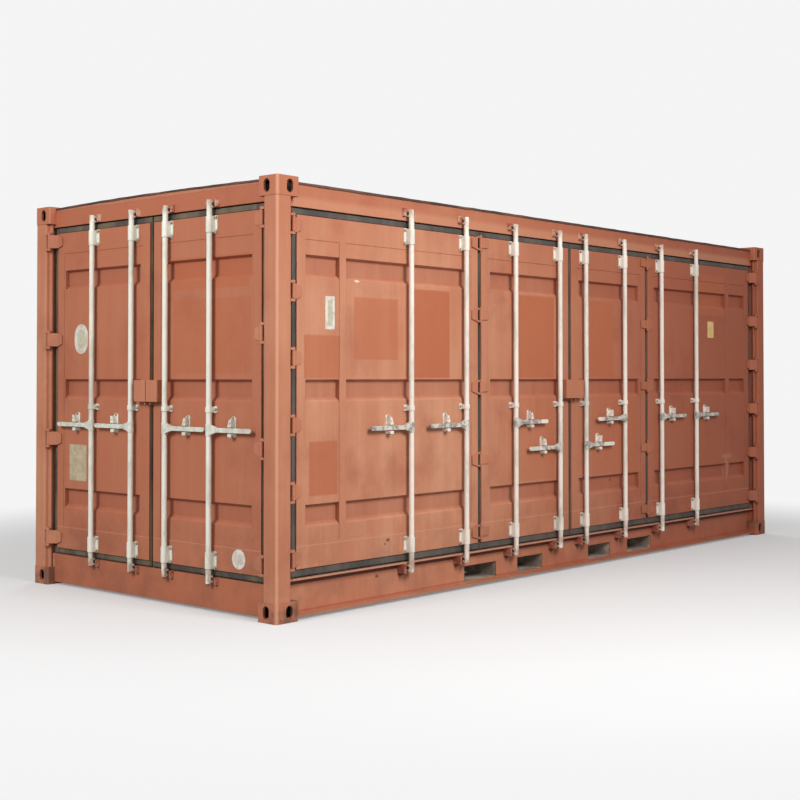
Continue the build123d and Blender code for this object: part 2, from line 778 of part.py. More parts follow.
def seal(limits, reach):
    """A rubber strip round a leaf, with a bead along its front."""
    base = ring(limits, reach, SEAL_DEPTH + SEAL_BEAD, SEAL_DEPTH + SEAL_T, 0)
    return base + ring(limits, reach, SEAL_DEPTH, SEAL_DEPTH + SEAL_BEAD, SEAL_BEAD_IN)


def end_leaf():
    """The right-hand leaf of the rear doors, as a piece of the right side."""
    span = (END_A0 + TROUGH_HINGE_IN, END_A1 - TROUGH_FREE_IN)
    return leaf(END_A0, END_A1, END_Z0, END_Z1, [span], [])


def end_seal():
    free = (LEAF_GAP - SEAL_OPENING) / 2
    return seal((END_A0, END_A1, END_Z0, END_Z1), (SEAL_W, free, SEAL_W, SEAL_W))


def outer_side_leaf():
    middle = OUTER_A0 + JOINT_STRIP_IN
    strip = (middle - JOINT_STRIP_W / 2, middle + JOINT_STRIP_W / 2)
    spans = [(OUTER_A0 + TROUGH_SIDE_HINGE_IN, strip[0]), (strip[1], OUTER_A1 - TROUGH_FREE_IN)]
    return leaf(OUTER_A0, OUTER_A1, SIDE_Z0, SIDE_Z1, spans, [strip])


def inner_side_leaf():
    span = (INNER_A0 + TROUGH_FREE_IN, INNER_A1 - TROUGH_FREE_IN)
    return leaf(INNER_A0, INNER_A1, SIDE_Z0, SIDE_Z1, [span], [])


def side_seals():
    free = (LEAF_GAP - SEAL_SPLIT) / 2
    outer = seal((OUTER_A0, OUTER_A1, SIDE_Z0, SIDE_Z1), (SEAL_W, free, SIDE_SEAL_LOW_W, SEAL_W))
    inner = seal((INNER_A0, INNER_A1, SIDE_Z0, SIDE_Z1), (free, free, SIDE_SEAL_LOW_W, SEAL_W))
    return [outer, inner, along(outer), along(inner)]


# Locking bars

def cam(a, z0):
    """Two jaws with a slot between them, beside the bar and behind it."""
    z1 = z0 + CAM_H
    body = block(a - CAM_W / 2, a + CAM_W / 2, BAR_DEPTH, BAR_DEPTH + CAM_REACH, z0, z1)
    body = body & upright(a, BAR_DEPTH, z0, z1, CAM_REACH)
    low = (z0 + z1 - CAM_SLOT_H) / 2
    slot = block(a - CAM_W / 2, a + CAM_W / 2, BAR_DEPTH, BAR_DEPTH + CAM_REACH,
                 low, low + CAM_SLOT_H)
    return body - (slot - upright(a, BAR_DEPTH, low, low + CAM_SLOT_H, BAR_R))


def handle(a, z, way, length):
    """A flat handle with a rounded end, on a tapered hub welded to the bar."""
    tip = a + way * HUB_L
    end = a + way * (length - HANDLE_H / 2)
    hub = front([(a, z - HUB_H / 2), (tip, z - HUB_TIP_H / 2), (tip, z + HUB_TIP_H / 2),
                 (a, z + HUB_H / 2)], BAR_DEPTH - HUB_T / 2, BAR_DEPTH + HUB_T / 2)
    d0 = BAR_DEPTH - HANDLE_T / 2
    d1 = BAR_DEPTH + HANDLE_T / 2
    grip = block(min(a, end), max(a, end), d0, d1, z - HANDLE_H / 2, z + HANDLE_H / 2)
    collar = upright(a, BAR_DEPTH, z - HUB_H / 2, z + HUB_H / 2, COLLAR_R)
    return hub + grip + disc(end, z, HANDLE_H / 2, d0, d1) + collar


def lock_bar(a, handle_z, way, handle_l):
    """A tube with a cam at each end and a handle that points along or against X."""
    solid_end = CAM_END + CAM_H
    bar = upright(a, BAR_DEPTH, BAR_BOTTOM, BAR_TOP, BAR_R) + handle(a, handle_z, way, handle_l)
    bar -= upright(a, BAR_DEPTH, BAR_BOTTOM + solid_end, BAR_TOP - solid_end, BAR_BORE_R)
    return bar + cam(a, BAR_BOTTOM + CAM_END) + cam(a, BAR_TOP - solid_end)


def strap(a, z, height):
    """A U of flat bar round a locking bar, open towards the door."""
    z0 = z - height / 2
    z1 = z + height / 2
    inner = BAR_R + STRAP_CLEAR
    outer = inner + STRAP_T
    body = upright(a, BAR_DEPTH, z0, z1, outer)
    body += block(a - outer, a + outer, BAR_DEPTH, DOOR_FACE, z0, z1)
    body -= upright(a, BAR_DEPTH, z0, z1, inner)
    return body - block(a - inner, a + inner, BAR_DEPTH, DOOR_FACE, z0, z1)


def bearing(a, z):
    """A plate on the rail of a leaf with a strap round the bar."""
    base = plate(a, z, BEARING_W, BEARING_H, BEARING_R, DOOR_FACE - BEARING_T, DOOR_FACE)
    return base + strap(a, z, STRAP_H)


def guide(a):
    """A smaller bearing on the panel at the middle of a bar."""
    base = plate(a, GUIDE_Z, BEARING_W, GUIDE_H, GUIDE_R, DOOR_FACE - BEARING_T, PANEL_FACE)
    return base + strap(a, GUIDE_Z, GUIDE_STRAP_H)


def retainer(at, z):
    """A plate with a shelf behind the handle, a lug above it and one below."""
    face = DOOR_FACE - BEARING_T
    lug_front = BAR_DEPTH - HANDLE_T / 2
    shelf_front = BAR_DEPTH + HANDLE_T / 2 + SHELF_CLEAR
    clear = HANDLE_H / 2 + LUG_CLEAR
    base = plate(at, z + RETAINER_RISE, RETAINER_W, RETAINER_H, RETAINER_R, face, PANEL_FACE)
    base += block(at - SHELF_W / 2, at + SHELF_W / 2, shelf_front, face, z - clear, z + clear)
    half = CATCH_W / 2
    top = z + clear + CATCH_H
    catch = front([(at - half, z + clear), (at + half, z + clear),
                   (at + half - CATCH_SLANT, top), (at - half, top)], lug_front, face)
    catch -= disc(at - CATCH_SLANT / 2, z + clear + CATCH_H / 2, CATCH_HOLE_R, lug_front, face)
    rest = plate(at, z - clear - REST_H / 2, CATCH_W, REST_H, REST_R, lug_front, face)
    return base + catch + rest


def bar_fittings(a, z0, z1, handle_z, way, handle_l):
    inset = BEARING_IN + BEARING_H / 2
    return [bearing(a, z0 + inset), bearing(a, z1 - inset), guide(a),
            retainer(a + way * handle_l / 2, handle_z)]


def keeper(a, z0, z1, back):
    """Two ears, one on each side of the cam."""
    face = DOOR_FACE - KEEPER_OUT
    body = plan([(a - KEEPER_TIP_W / 2, face), (a + KEEPER_TIP_W / 2, face),
                 (a + KEEPER_W / 2, back), (a - KEEPER_W / 2, back)], z0, z1)
    body -= upright(a, BAR_DEPTH, z0, z1, KEEPER_SCOOP_R)
    body -= block(a - KEEPER_SLOT_W / 2, a + KEEPER_SLOT_W / 2, face, back, z0, z1)
    return list(body.solids())


def top_keeper(a):
    high = BAR_TOP + CAM_END
    return keeper(a, high - KEEPER_H, high, DOOR_FACE)


def bottom_keeper(a, high, back):
    return keeper(a, BAR_BOTTOM - CAM_END, high, back)


def keepers():
    end_pieces = []
    for a in (END_OUTER_BAR, END_INNER_BAR):
        end_pieces += top_keeper(a) + bottom_keeper(a, SILL_TOP, DOOR_FACE)
    side_pieces = []
    for a, handle_z, way in SIDE_BARS:
        side_pieces += top_keeper(a) + bottom_keeper(a, LIP_LOW, WEB_DEPTH)
    right_end = [rear(piece) for piece in end_pieces]
    left_end = [across(piece) for piece in right_end]
    return right_end + left_end + side_pieces + [along(piece) for piece in side_pieces]


# Hinges

def taper(points, half_heights, z, d0, d1):
    """A prism whose outline seen from the front has a half height at each place."""
    upper = [(a, z + h) for a, h in zip(points, half_heights)]
    lower = [(a, z - h) for a, h in zip(points, half_heights)]
    return front(upper + lower[::-1], d0, d1)


def post_hinge(z):
    """The moving half: a knuckle and its pin between the lugs, a blade on the leaf."""
    half = HINGE_H / 2 - LUG_H - KNUCKLE_CLEAR
    bend = PIN_AT + BLADE_BEND
    tip = PIN_AT + BLADE_REACH
    face = DOOR_FACE - BLADE_T
    arm = plan([(PIN_AT, PIN_DEPTH - HINGE_R), (bend, face), (tip, face), (tip, DOOR_FACE),
                (bend - BLADE_BACK, DOOR_FACE), (PIN_AT, PIN_DEPTH + HINGE_R)],
               z - half, z + half)
    arm = arm & taper([PIN_AT, bend, tip], [half, half, BLADE_TIP_H / 2], z, 0, DOOR_FACE)
    knuckle = upright(PIN_AT, PIN_DEPTH, z - half, z + half, HINGE_R)
    pin_half = HINGE_H / 2 + PIN_END
    return arm + knuckle + upright(PIN_AT, PIN_DEPTH, z - pin_half, z + pin_half, PIN_R)


def end_hinges():
    return [rear(post_hinge(z)) for z in end_hinge_heights()]


def fold_hinge(z):
    """Two tapered plates over the gap between folding leaves, and a barrel in three."""
    half = FOLD_HINGE_H / 2
    mid = half - LUG_H
    depth = DOOR_FACE - FOLD_PIN_OUT
    face = DOOR_FACE - BLADE_T
    tip = BLADE_TIP_H / 2
    edge = FOLD_HINGE_R + KNUCKLE_CLEAR
    outer = taper([FOLD_AT - FOLD_REACH, FOLD_AT - edge, FOLD_AT], [tip, half, half], z,
                  face, DOOR_FACE)
    outer -= block(FOLD_AT - edge - FOLD_SLOT, FOLD_AT, face, DOOR_FACE, z - mid, z + mid)
    mid -= KNUCKLE_CLEAR
    inner = taper([FOLD_AT + FOLD_REACH, FOLD_AT + edge, FOLD_AT], [tip, mid, mid], z,
                  face, DOOR_FACE)
    barrel = upright(FOLD_AT, depth, z - half, z - half + LUG_H, FOLD_HINGE_R)
    barrel += upright(FOLD_AT, depth, z + half - LUG_H, z + half, FOLD_HINGE_R)
    barrel += upright(FOLD_AT, depth, z - mid, z + mid, FOLD_HINGE_R)
    barrel += upright(FOLD_AT, depth, z - half - PIN_END, z + half + PIN_END, PIN_R)
    return outer + inner + barrel


def side_hinges():
    near = [post_hinge(z) for z in side_hinge_heights()]
    near += [fold_hinge(z) for z in fold_hinge_heights()]
    return near + [along(hinge) for hinge in near]


# Lock boxes

def lock_box(a0, a1, hasps):
    """A hood of plate, open below, with lugs for a padlock inside it."""
    z0 = BOX_Z - BOX_H / 2
    z1 = BOX_Z + BOX_H / 2
    face = DOOR_FACE - BOX_OUT
    w = BOX_WALL
    hood = block(a0, a1, face, DOOR_FACE, z0, z1)
    hood -= block(a0 + w, a1 - w, face + w, DOOR_FACE - w, z0, z1 - w)
    hood += block(a0, a1, DOOR_FACE - w, DOOR_FACE, z0 - HASP_BELOW, z0)
    for at in hasps:
        hood += block(at - HASP_T / 2, at + HASP_T / 2, face + HASP_BACK, DOOR_FACE - w,
                      z0 - HASP_BELOW, z0 - HASP_BELOW + HASP_H)
    return hood


def side_lock_box():
    half = MID_SIDE - SIDE_BAR_4 - BOX_BAR_GAP
    return [lock_box(MID_SIDE - half, MID_SIDE + half, [MID_SIDE - HASP_FROM, MID_SIDE + HASP_FROM])]


def end_lock_box():
    half = MID_END - END_INNER_BAR - BOX_BAR_GAP
    return [rear(lock_box(MID_END - half, MID_END - BOX_SPLIT / 2, [MID_END - HASP_FROM]))]


# Parts that repeat, mirrored where they face the other way

def side_bar(index):
    """Bars 1 to 4 from the rear end to the middle, and 5 to 8 mirrored."""
    near = index < len(SIDE_BARS)
    place = SIDE_BARS[index] if near else SIDE_BARS[2 * len(SIDE_BARS) - 1 - index]
    bar = lock_bar(*place, SIDE_HANDLE_L)
    return [bar if near else along(bar)]


def side_fittings():
    near = []
    for a, handle_z, way in SIDE_BARS:
        near += bar_fittings(a, SIDE_Z0, SIDE_Z1, handle_z, way, SIDE_HANDLE_L)
    return near + [along(piece) for piece in near]


def end_fittings():
    pieces = []
    for a in (END_OUTER_BAR, END_INNER_BAR):
        pieces += bar_fittings(a, END_Z0, END_Z1, HANDLE_Z, -1, END_HANDLE_L)
    return [rear(piece) for piece in pieces]


def end_bar(a):
    return [rear(lock_bar(a, HANDLE_Z, -1, END_HANDLE_L))]


def left_of(pieces):
    return [across(piece) for piece in pieces]


def nodes():
    parts = {
        "bottom_corner_castings": bottom_castings(),
        "top_corner_castings": top_castings(),
        "rear_posts": rear_posts(),
        "front_posts": front_posts(),
        "door_header": door_header(),
        "door_sill": door_sill(),
        "front_end_rails": front_end_rails(),
        "front_wall": front_wall(),
        "left_wall": left_wall(),
        "top_side_rails": top_side_rails(),
        "left_bottom_rail": left_bottom_rail(),
        "right_bottom_rail": right_bottom_rail(),
        "roof": roof(),
        "roof_end_plates": roof_end_plates(),
        "floor": floor(),
        "cross_members": cross_members(),
        "fork_pockets": fork_pockets(),
        "side_leaf_1": [outer_side_leaf()],
        "side_leaf_2": [inner_side_leaf()],
        "side_leaf_3": [along(inner_side_leaf())],
        "side_leaf_4": [along(outer_side_leaf())],
        "side_door_seals": side_seals(),
        "side_door_hinges": side_hinges(),
        "side_bar_fittings": side_fittings(),
        "side_lock_box": side_lock_box(),
        "cam_keepers": keepers(),
    }
    door = {
        "leaf": [rear(end_leaf())],
        "seal": [rear(end_seal())],
        "hinges": end_hinges(),
        "fittings": end_fittings(),
        "lock_box": end_lock_box(),
        "bar_outer": end_bar(END_OUTER_BAR),
        "bar_inner": end_bar(END_INNER_BAR),
    }
    for name, pieces in door.items():
        parts["right_door_" + name] = pieces
        parts["left_door_" + name] = left_of(pieces)
    for index in range(2 * len(SIDE_BARS)):
        parts["side_bar_" + str(index + 1)] = side_bar(index)
    return parts


os.makedirs("parts", exist_ok=True)
for name, pieces in nodes().items():
    whole = Compound(children=list(pieces)) if len(pieces) > 1 else pieces[0]
    export_step(whole, os.path.join("parts", name + ".step"))
    print(name, len(pieces))
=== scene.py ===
# %% [markdown]
# A weathered freight container, dressed around its steel frame. The frame comes in as
# plain meshes, one for each rail, post, door and bar. They are true to size and ride on
# their joints, so nothing here moves or reshapes them. This lesson gives each one its
# paint, rubber or wood, adds the bolts, plates and sealant that show close up, and sets up
# a pale studio with a camera at eye height.

# %% Load the frame
import math
import bpy
from mathutils import Matrix, Vector


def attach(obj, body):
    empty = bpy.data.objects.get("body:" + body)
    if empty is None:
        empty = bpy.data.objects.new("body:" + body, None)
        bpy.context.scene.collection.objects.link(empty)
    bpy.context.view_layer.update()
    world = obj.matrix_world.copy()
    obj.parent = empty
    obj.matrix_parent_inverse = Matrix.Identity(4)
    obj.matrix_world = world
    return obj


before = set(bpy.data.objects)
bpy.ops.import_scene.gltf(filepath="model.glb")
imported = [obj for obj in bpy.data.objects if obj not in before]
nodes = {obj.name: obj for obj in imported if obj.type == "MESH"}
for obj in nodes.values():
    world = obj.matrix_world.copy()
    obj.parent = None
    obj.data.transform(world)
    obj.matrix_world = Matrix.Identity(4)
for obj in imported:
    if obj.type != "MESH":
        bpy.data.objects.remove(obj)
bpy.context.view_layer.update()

# %% [markdown]
# Lengths are in metres. The rear end with its hinged doors is at -X, the folding doors are
# on the side at -Y, and the ground is at Z = 0. A piece on a door could be placed by its X
# and Y, but on the real one it is measured along the face, from the corner where the two
# door faces meet. So two small functions turn such a measure into a place.

# %% Overall size and places on the two door faces
LENGTH = 6.058
WIDTH = 2.438
HEIGHT = 2.591
DOOR_FACE = 0.055
PANEL_STEP = 0.0025


def on_side(a, z, depth):
    """Where a piece stands on the folding-door side, with its front towards -Y."""
    turn = Matrix(((1, 0, 0), (0, 0, -1), (0, 1, 0))).to_4x4()
    return Matrix.Translation((a - LENGTH / 2, depth - WIDTH / 2, z)) @ turn


def on_end(v, z, depth):
    """Where a piece stands on the rear end, with its front towards -X."""
    turn = Matrix(((0, 0, -1), (-1, 0, 0), (0, 1, 0))).to_4x4()
    return Matrix.Translation((depth - LENGTH / 2, v - WIDTH / 2, z)) @ turn


print("side corner at", tuple(round(c, 3) for c in on_side(0, 0, 0).translation))

# %% [markdown]
# The camera stands at eye height off the corner, so that both door faces show. Its lens is
# a short telephoto. Tilting it down would bring the container to the middle of the picture
# too, but the uprights would lean, so the lens is shifted instead.

# %% Camera
CAMERA_AT = (-8.341, -6.882, 1.420)
CAMERA_YAW = 41.610
CAMERA_PITCH = 1.112
LENS = 60.65
SENSOR = 36.0
SHIFT_Y = -0.0615
FAR_CLIP = 200

aim = (math.radians(90 + CAMERA_PITCH), 0, math.radians(CAMERA_YAW - 90))
bpy.ops.object.camera_add(location=CAMERA_AT, rotation=aim)
camera = bpy.context.object
camera.data.lens = LENS
camera.data.sensor_width = SENSOR
camera.data.shift_y = SHIFT_Y
camera.data.clip_end = FAR_CLIP
bpy.context.scene.camera = camera
bpy.context.scene.view_settings.view_transform = "Standard"
print("camera lens", round(camera.data.lens, 1))

# %% [markdown]
# Weathered paint takes dozens of Math nodes. They could be placed and linked one by one,
# but shader maths reads best as plain sums. So a Wire wraps one socket, and adding or
# multiplying Wires adds the Math nodes behind the scenes.

# %% Tones and wires


def tone(r, g, b):
    """A colour as it looks on a screen, 0 to 255, as the linear values a shader needs."""
    linear = [((c / 255 + 0.055) / 1.055) ** 2.4 if c > 10 else c / 255 / 12.92 for c in (r, g, b)]
    return (*linear, 1.0)


class Wire:
    """One output of a node, ready for sums."""

    def __init__(self, graph, socket):
        self.graph = graph
        self.socket = socket

    def work(self, operation, *values):
        """One Math node on some values, of which any can be a Wire."""
        return self.graph.node("ShaderNodeMath", {"operation": operation}, dict(enumerate(values)))

    def __add__(self, other):
        return self.work("ADD", self, other)

    def __radd__(self, other):
        return self.work("ADD", other, self)

    def __sub__(self, other):
        return self.work("SUBTRACT", self, other)

    def __rsub__(self, other):
        return self.work("SUBTRACT", other, self)

    def __mul__(self, other):
        return self.work("MULTIPLY", self, other)

    def __rmul__(self, other):
        return self.work("MULTIPLY", other, self)

    def __truediv__(self, other):
        return self.work("DIVIDE", self, other)

    def __pow__(self, other):
        return self.work("POWER", self, other)

    def most(self, other):
        return self.work("MAXIMUM", self, other)

    def least(self, other):
        return self.work("MINIMUM", self, other)

    def size(self):
        return self.work("ABSOLUTE", self)

    def repeat(self, step):
        """How far along the current step, from 0 to 1."""
        return self.work("FRACT", self / step)

    def between(self, low, high):
        """0 below low, 1 above high, and a smooth step from one to the other."""
        return self.graph.node("ShaderNodeMapRange", {"interpolation_type": "SMOOTHSTEP"},
                               {"Value": self, "From Min": low, "From Max": high})

    def within(self, low, high, soft):
        """1 from low to high and 0 beyond them, with edges a little soft to either side."""
        return self.between(low - soft, low + soft) - self.between(high - soft, high + soft)


print("tone of chalk", [round(c, 2) for c in tone(225, 220, 210)[:3]])

# %% [markdown]
# A Graph makes any other node with one method: it takes the kind, the settings, and what
# goes into the sockets. A Finish is the graph of one material. An image could hold the
# weather of one piece, but it would need a file and an unwrapped mesh. A Finish reads the
# place on the object in metres instead, so one finish fits many pieces and stays sharp.

# %% Graphs and finishes


class Graph:
    """The nodes of one material or world."""

    def __init__(self, tree):
        self.tree = tree

    def feed(self, socket, value):
        """Link a Wire to a socket, or set the socket to a plain value."""
        if isinstance(value, Wire):
            self.tree.links.new(value.socket, socket)
        else:
            socket.default_value = value

    def node(self, kind, settings, inputs, output=0):
        """A new node with its settings and sockets filled in, as a Wire from one output."""
        made = self.tree.nodes.new(kind)
        for name, value in settings.items():
            setattr(made, name, value)
        for name, value in inputs.items():
            self.feed(made.inputs[name], value)
        return Wire(self, made.outputs[output])


class Finish(Graph):
    """One material under construction."""

    def __init__(self, name):
        self.material = bpy.data.materials.new(name)
        self.material.use_nodes = True
        super().__init__(self.material.node_tree)
        self.shader = self.tree.nodes["Principled BSDF"]
        self.place = self.node("ShaderNodeTexCoord", {}, {}, "Object")
        self.x, self.y, self.z = [self.part(self.place, axis) for axis in ("X", "Y", "Z")]

    def part(self, vector, axis):
        """One number of a vector."""
        return self.node("ShaderNodeSeparateXYZ", {}, {0: vector}, axis)

    def noise(self, scale, detail=4.0, rough=0.55, stretch=(1, 1, 1), shift=(0, 0, 0)):
        """Cloudy noise with patches of about one over scale metres, stretched along an axis."""
        moved = {"Vector": self.place, "Scale": stretch, "Location": shift}
        spot = self.node("ShaderNodeMapping", {}, moved)
        look = {"Vector": spot, "Scale": scale, "Detail": detail, "Roughness": rough}
        return self.node("ShaderNodeTexNoise", {}, look, "Fac")

    def mix(self, factor, first, second):
        """A colour between two, each a tone or a Wire."""
        return self.node("ShaderNodeMix", {"data_type": "RGBA"}, {0: factor, 6: first, 7: second}, 2)

    def shade(self, colour, amount):
        """A colour made darker or lighter by a number that varies over the surface."""
        grey = self.node("ShaderNodeCombineColor", {}, {0: amount, 1: amount, 2: amount})
        return self.node("ShaderNodeMix", {"data_type": "RGBA", "blend_type": "MULTIPLY"},
                         {0: 1.0, 6: colour, 7: grey}, 2)

    def outside(self, axis):
        """0 on faces that look along an axis, into the container, and 1 on the others."""
        normal = self.node("ShaderNodeTexCoord", {}, {}, "Normal")
        return 1 - self.part(normal, axis).between(0.1, 0.4)

    def edges(self, radius):
        """Soft normals near the edges of the metal, and a mask of those edges."""
        soft = self.node("ShaderNodeBevel", {"samples": 4}, {"Radius": radius})
        true = self.node("ShaderNodeNewGeometry", {}, {}, "Normal")
        same = self.node("ShaderNodeVectorMath", {"operation": "DOT_PRODUCT"}, {0: soft, 1: true}, "Value")
        return soft, 1 - same

    def bump(self, height, strength, distance, normal=None):
        """Normals tilted by a height, over soft normals where they are given."""
        sockets = {"Height": height, "Strength": strength, "Distance": distance}
        if normal is not None:
            sockets["Normal"] = normal
        return self.node("ShaderNodeBump", {}, sockets)

    def set(self, **sockets):
        """Fill the shader's own sockets, by names with the spaces left out."""
        for name, value in sockets.items():
            self.feed(next(s for s in self.shader.inputs if s.name.replace(" ", "") == name), value)
        return self.material


print("methods of a finish:", ", ".join(name for name in vars(Finish) if not name.startswith("_")))

# %% [markdown]
# The container's paint is a matt oxide red that the sun has bleached. On the real one it is
# never one colour: broad clouds of chalky fading, faint runs where rain comes down, patches
# of newer paint, and small knocks. It also carries painted light: level lines of painted
# highlight and shadow, a painted shade high up, and a darker tone towards the front end that
# is partly less faded paint and partly painted shade. Each could be its own material on its
# own faces, but they overlap. So each is a function that lays one more coat over a colour.

# %% Coats of oxide paint
RED = tone(172, 95, 64)
CHALKY = tone(204, 145, 112)
DEEP = tone(150, 75, 52)
FRESH = tone(176, 94, 57)
# Along X between these two places the paint turns darker towards the front end: partly less faded paint,
# partly painted shade where the light falls off.
FRONT_SHADE_X = (-1.9, 2.6)
# Between these heights the paint turns darker upwards, a painted shade high up.
TOP_SHADE_Z = (1.8, 2.5)
WINDOW_EDGE = 0.007
PAINTED_LINE_EDGE = 0.002
PAINTED_LINE_WANDER = 0.006


def bleached_red(f, fade, front_tone_and_shade):
    """Red with chalky clouds and runs. With sunny, it is darker towards the front end, partly less faded
    paint and partly painted shade where the light falls off along the length. High up it is darker too, a
    painted shade.
    """
    cloud = f.noise(1.1, 5, 0.62)
    runs = f.noise(2.4, 5, 0.6, stretch=(5, 5, 0.32), shift=(3, 1, 0))
    faded = 0.35 + cloud.between(0.30, 0.72) * 0.4 + runs.between(0.36, 0.70) * 0.25
    front_shade = f.x.between(*FRONT_SHADE_X) * front_tone_and_shade
    faded = faded * (fade - front_shade * fade) * (1 - f.z.between(*TOP_SHADE_Z) * 0.4)
    deep = f.noise(2.1, 4, 0.6, shift=(5, 2, 7)).between(0.50, 0.74) * 0.4 + front_shade * 0.62
    return f.mix(deep.least(1.0), f.mix(faded, RED, CHALKY), DEEP)


def newer_paint(f, colour, along, windows, shown):
    """Windows of newer paint, each with its two sides, its foot and top, and its strength."""
    fresh = sum(along.within(a0, a1, WINDOW_EDGE) * f.z.within(z0, z1, WINDOW_EDGE) * strength
                for a0, a1, z0, z1, strength in windows)
    return f.mix((fresh * shown).least(1.0), colour, FRESH)


def painted_level_lines(f, colour, ragged, lines, outside):
    """Level lines of painted highlight and shadow, each with its two heights, its tone and its strength."""
    level = f.z + ragged * PAINTED_LINE_WANDER
    for z0, z1, tint, amount in lines:
        painted_line = level.within(z0, z1, PAINTED_LINE_EDGE) * outside
        colour = f.mix(painted_line * amount, colour, tint)
    return colour


def small_knocks(f, colour, along, ragged, marks, outside):
    """Oval knocks, each with its place, its half width and half height, and its tone."""
    for a, z, half_a, half_z, tint in marks:
        off_a = (along - a) / half_a
        off_z = (f.z - z) / half_z
        away = (off_a * off_a + off_z * off_z) ** 0.5 + ragged
        colour = f.mix((1 - away.between(0.6, 1.2)) * outside * 0.85, colour, tint)
    return colour


print("reds:", [round(c, 3) for c in RED[:3]])

# %% [markdown]
# One function then builds the whole paint, and each group of pieces gets it with its own
# amounts. Over the coats come grime low down where wheels throw it up, bare brown metal
# where edges have been knocked, a little rust, and a painted highlight down the rounded
# corners of the container. A Bevel node finds the edges, which saves cutting real bevels
# into every piece of the frame.

# %% Oxide paint
GRIME = tone(92, 68, 54)
RUST = tone(104, 56, 38)
BARE = tone(96, 78, 66)
HOLLOW_DARK = tone(38, 30, 26)
EDGE_R = 0.004
TROUGH_DEPTH = (0.008, 0.026)
PALE_FOOT_Z = (2.470, 2.515)
SPLASH_Z = (0.05, 0.75)
CORNER_HIGHLIGHT = (0.009, 0.023)
HOLLOW_X = (0.01775, 0.168)
HOLLOW_Y = (0.01775, 0.152)
HOLLOW_Z = (0.02725, 0.107)
HOLLOW_EDGE = 0.0005


def oxide_paint(name, fade=0.5, grime=0.5, wear=0.5, windows=(), rear=False, coarse=0.0, front_tone_and_shade=0.0,
                trough_shade=0.0, pale=0.0, hollow=False, lines=(), marks=()):
    """Red paint with its own share of fading, grime and wear.

    Windows, lines and marks are measured on the folding-door side, or with rear on the rear
    end, and stay off faces that look into the container. The lines are painted highlights and
    shadows, and some of the marks are painted shadows. With sunk, the paint down in the
    pressed troughs of the doors is darker, a painted shade of the recess. With pale, the foot
    of the top rail is lighter. With hollow, the inside of the corner castings is near black. A
    painted highlight runs down the rounded corners of the container.
    """
    f = Finish(name)
    fine = f.noise(34, 5, 0.7, stretch=(1, 1, 0.5))
    along = f.y + WIDTH / 2 if rear else f.x + LENGTH / 2
    outside = f.outside("X" if rear else "Y")
    colour = bleached_red(f, fade, front_tone_and_shade)
    # Painted shade: the paint down in the pressed troughs of the doors is darker.
    if trough_shade:
        inward = f.x + LENGTH / 2 if rear else f.y + WIDTH / 2
        colour = f.mix(inward.between(*[DOOR_FACE + d for d in TROUGH_DEPTH]) * trough_shade, colour, DEEP)
    # The foot of the top rail is made lighter.
    if pale:
        high = (f.z + fine * 0.02).between(*PALE_FOOT_Z)
        colour = f.mix((1 - high) * pale, colour, CHALKY)
    if windows:
        colour = newer_paint(f, colour, along, windows, (0.8 + fine * 0.35) * outside)

    low = 1 - f.z.between(*SPLASH_Z)
    runs = f.noise(7, 6, 0.7, stretch=(1, 1, 0.25)).between(0.60, 0.78)
    splash = low * f.noise(5, 6, 0.7).between(0.40, 0.66) + runs * 0.35
    colour = f.mix((splash * grime).least(0.75), colour, GRIME)
    soft, edge = f.edges(EDGE_R)
    chipped = (edge * 9.0 * wear).least(1.0) * f.noise(22, 5, 0.7).between(0.42, 0.60)
    spots = f.noise(16, 7, 0.72, shift=(9, 4, 2)).between(0.715, 0.745) * wear
    colour = f.mix(chipped * 0.55, colour, BARE)
    colour = f.mix(spots * 0.85, colour, RUST)
    # Level lines of painted highlight and shadow go on here.
    colour = painted_level_lines(f, colour, fine - 0.5, lines, outside)
    colour = small_knocks(f, colour, along, fine - 0.5, marks, outside)

    # A painted highlight runs down the rounded corners of the container, close to each corner edge.
    from_end = LENGTH / 2 - f.x.size()
    from_side = WIDTH / 2 - f.y.size()
    corner = (1 - from_end.between(*CORNER_HIGHLIGHT)) * (1 - from_side.between(*CORNER_HIGHLIGHT))
    colour = f.mix(corner * 0.65, colour, CHALKY)
    # Inside the corner castings the colour is near black.
    if hollow:
        from_level = HEIGHT / 2 - (f.z - HEIGHT / 2).size()
        inside = from_end.within(*HOLLOW_X, HOLLOW_EDGE) * from_side.within(*HOLLOW_Y, HOLLOW_EDGE)
        colour = f.mix(inside * from_level.within(*HOLLOW_Z, HOLLOW_EDGE), colour, HOLLOW_DARK)
    speck = f.noise(95, 3, 0.6)
    height = fine * 0.4 + speck * 0.25 + f.noise(3.0, 3, 0.5) * 2.2 + f.noise(160, 3) * coarse
    return f.set(BaseColor=f.shade(colour, 0.93 + fine * 0.14), Metallic=0.0,
                 Roughness=0.62 + fine * 0.16 - chipped * 0.1, Normal=f.bump(height, 0.35, 0.0016, soft))


def dress(material, *names):
    """Give CAD nodes a material in place of their plain one."""
    for name in names:
        slots = nodes[name].data.materials
        slots.clear()
        slots.append(material)


print("edges are softened over", EDGE_R, "m")

# %% [markdown]
# The frame weathers by place, and carries some painted light. The lip under the folding
# doors has a painted highlight along its edge and a painted shadow beneath it, a painted
# shadow under each keeper beside one rust spot, and lower down a painted shade where the
# bottom flange meets the rail and a painted highlight on the flange's top. The top rails are
# lighter along their foot, and the castings take the knocks of every crane. The shadows
# could be dabbed on by eye, but each one comes from a bar above it, so they are worked out
# from the bars: how far along each one stands, how high its handle is, and which way the
# handle points. The far pair of doors mirrors the near one.

# %% Paint the posts, rails, skin and castings
HANDLE_Z = 1.100
LOWER = 0.192
SIDE_BARS = ((1.200, HANDLE_Z, -1), (1.763, HANDLE_Z, -1), (2.318, HANDLE_Z, 1),
             (2.859, HANDLE_Z - LOWER, -1))
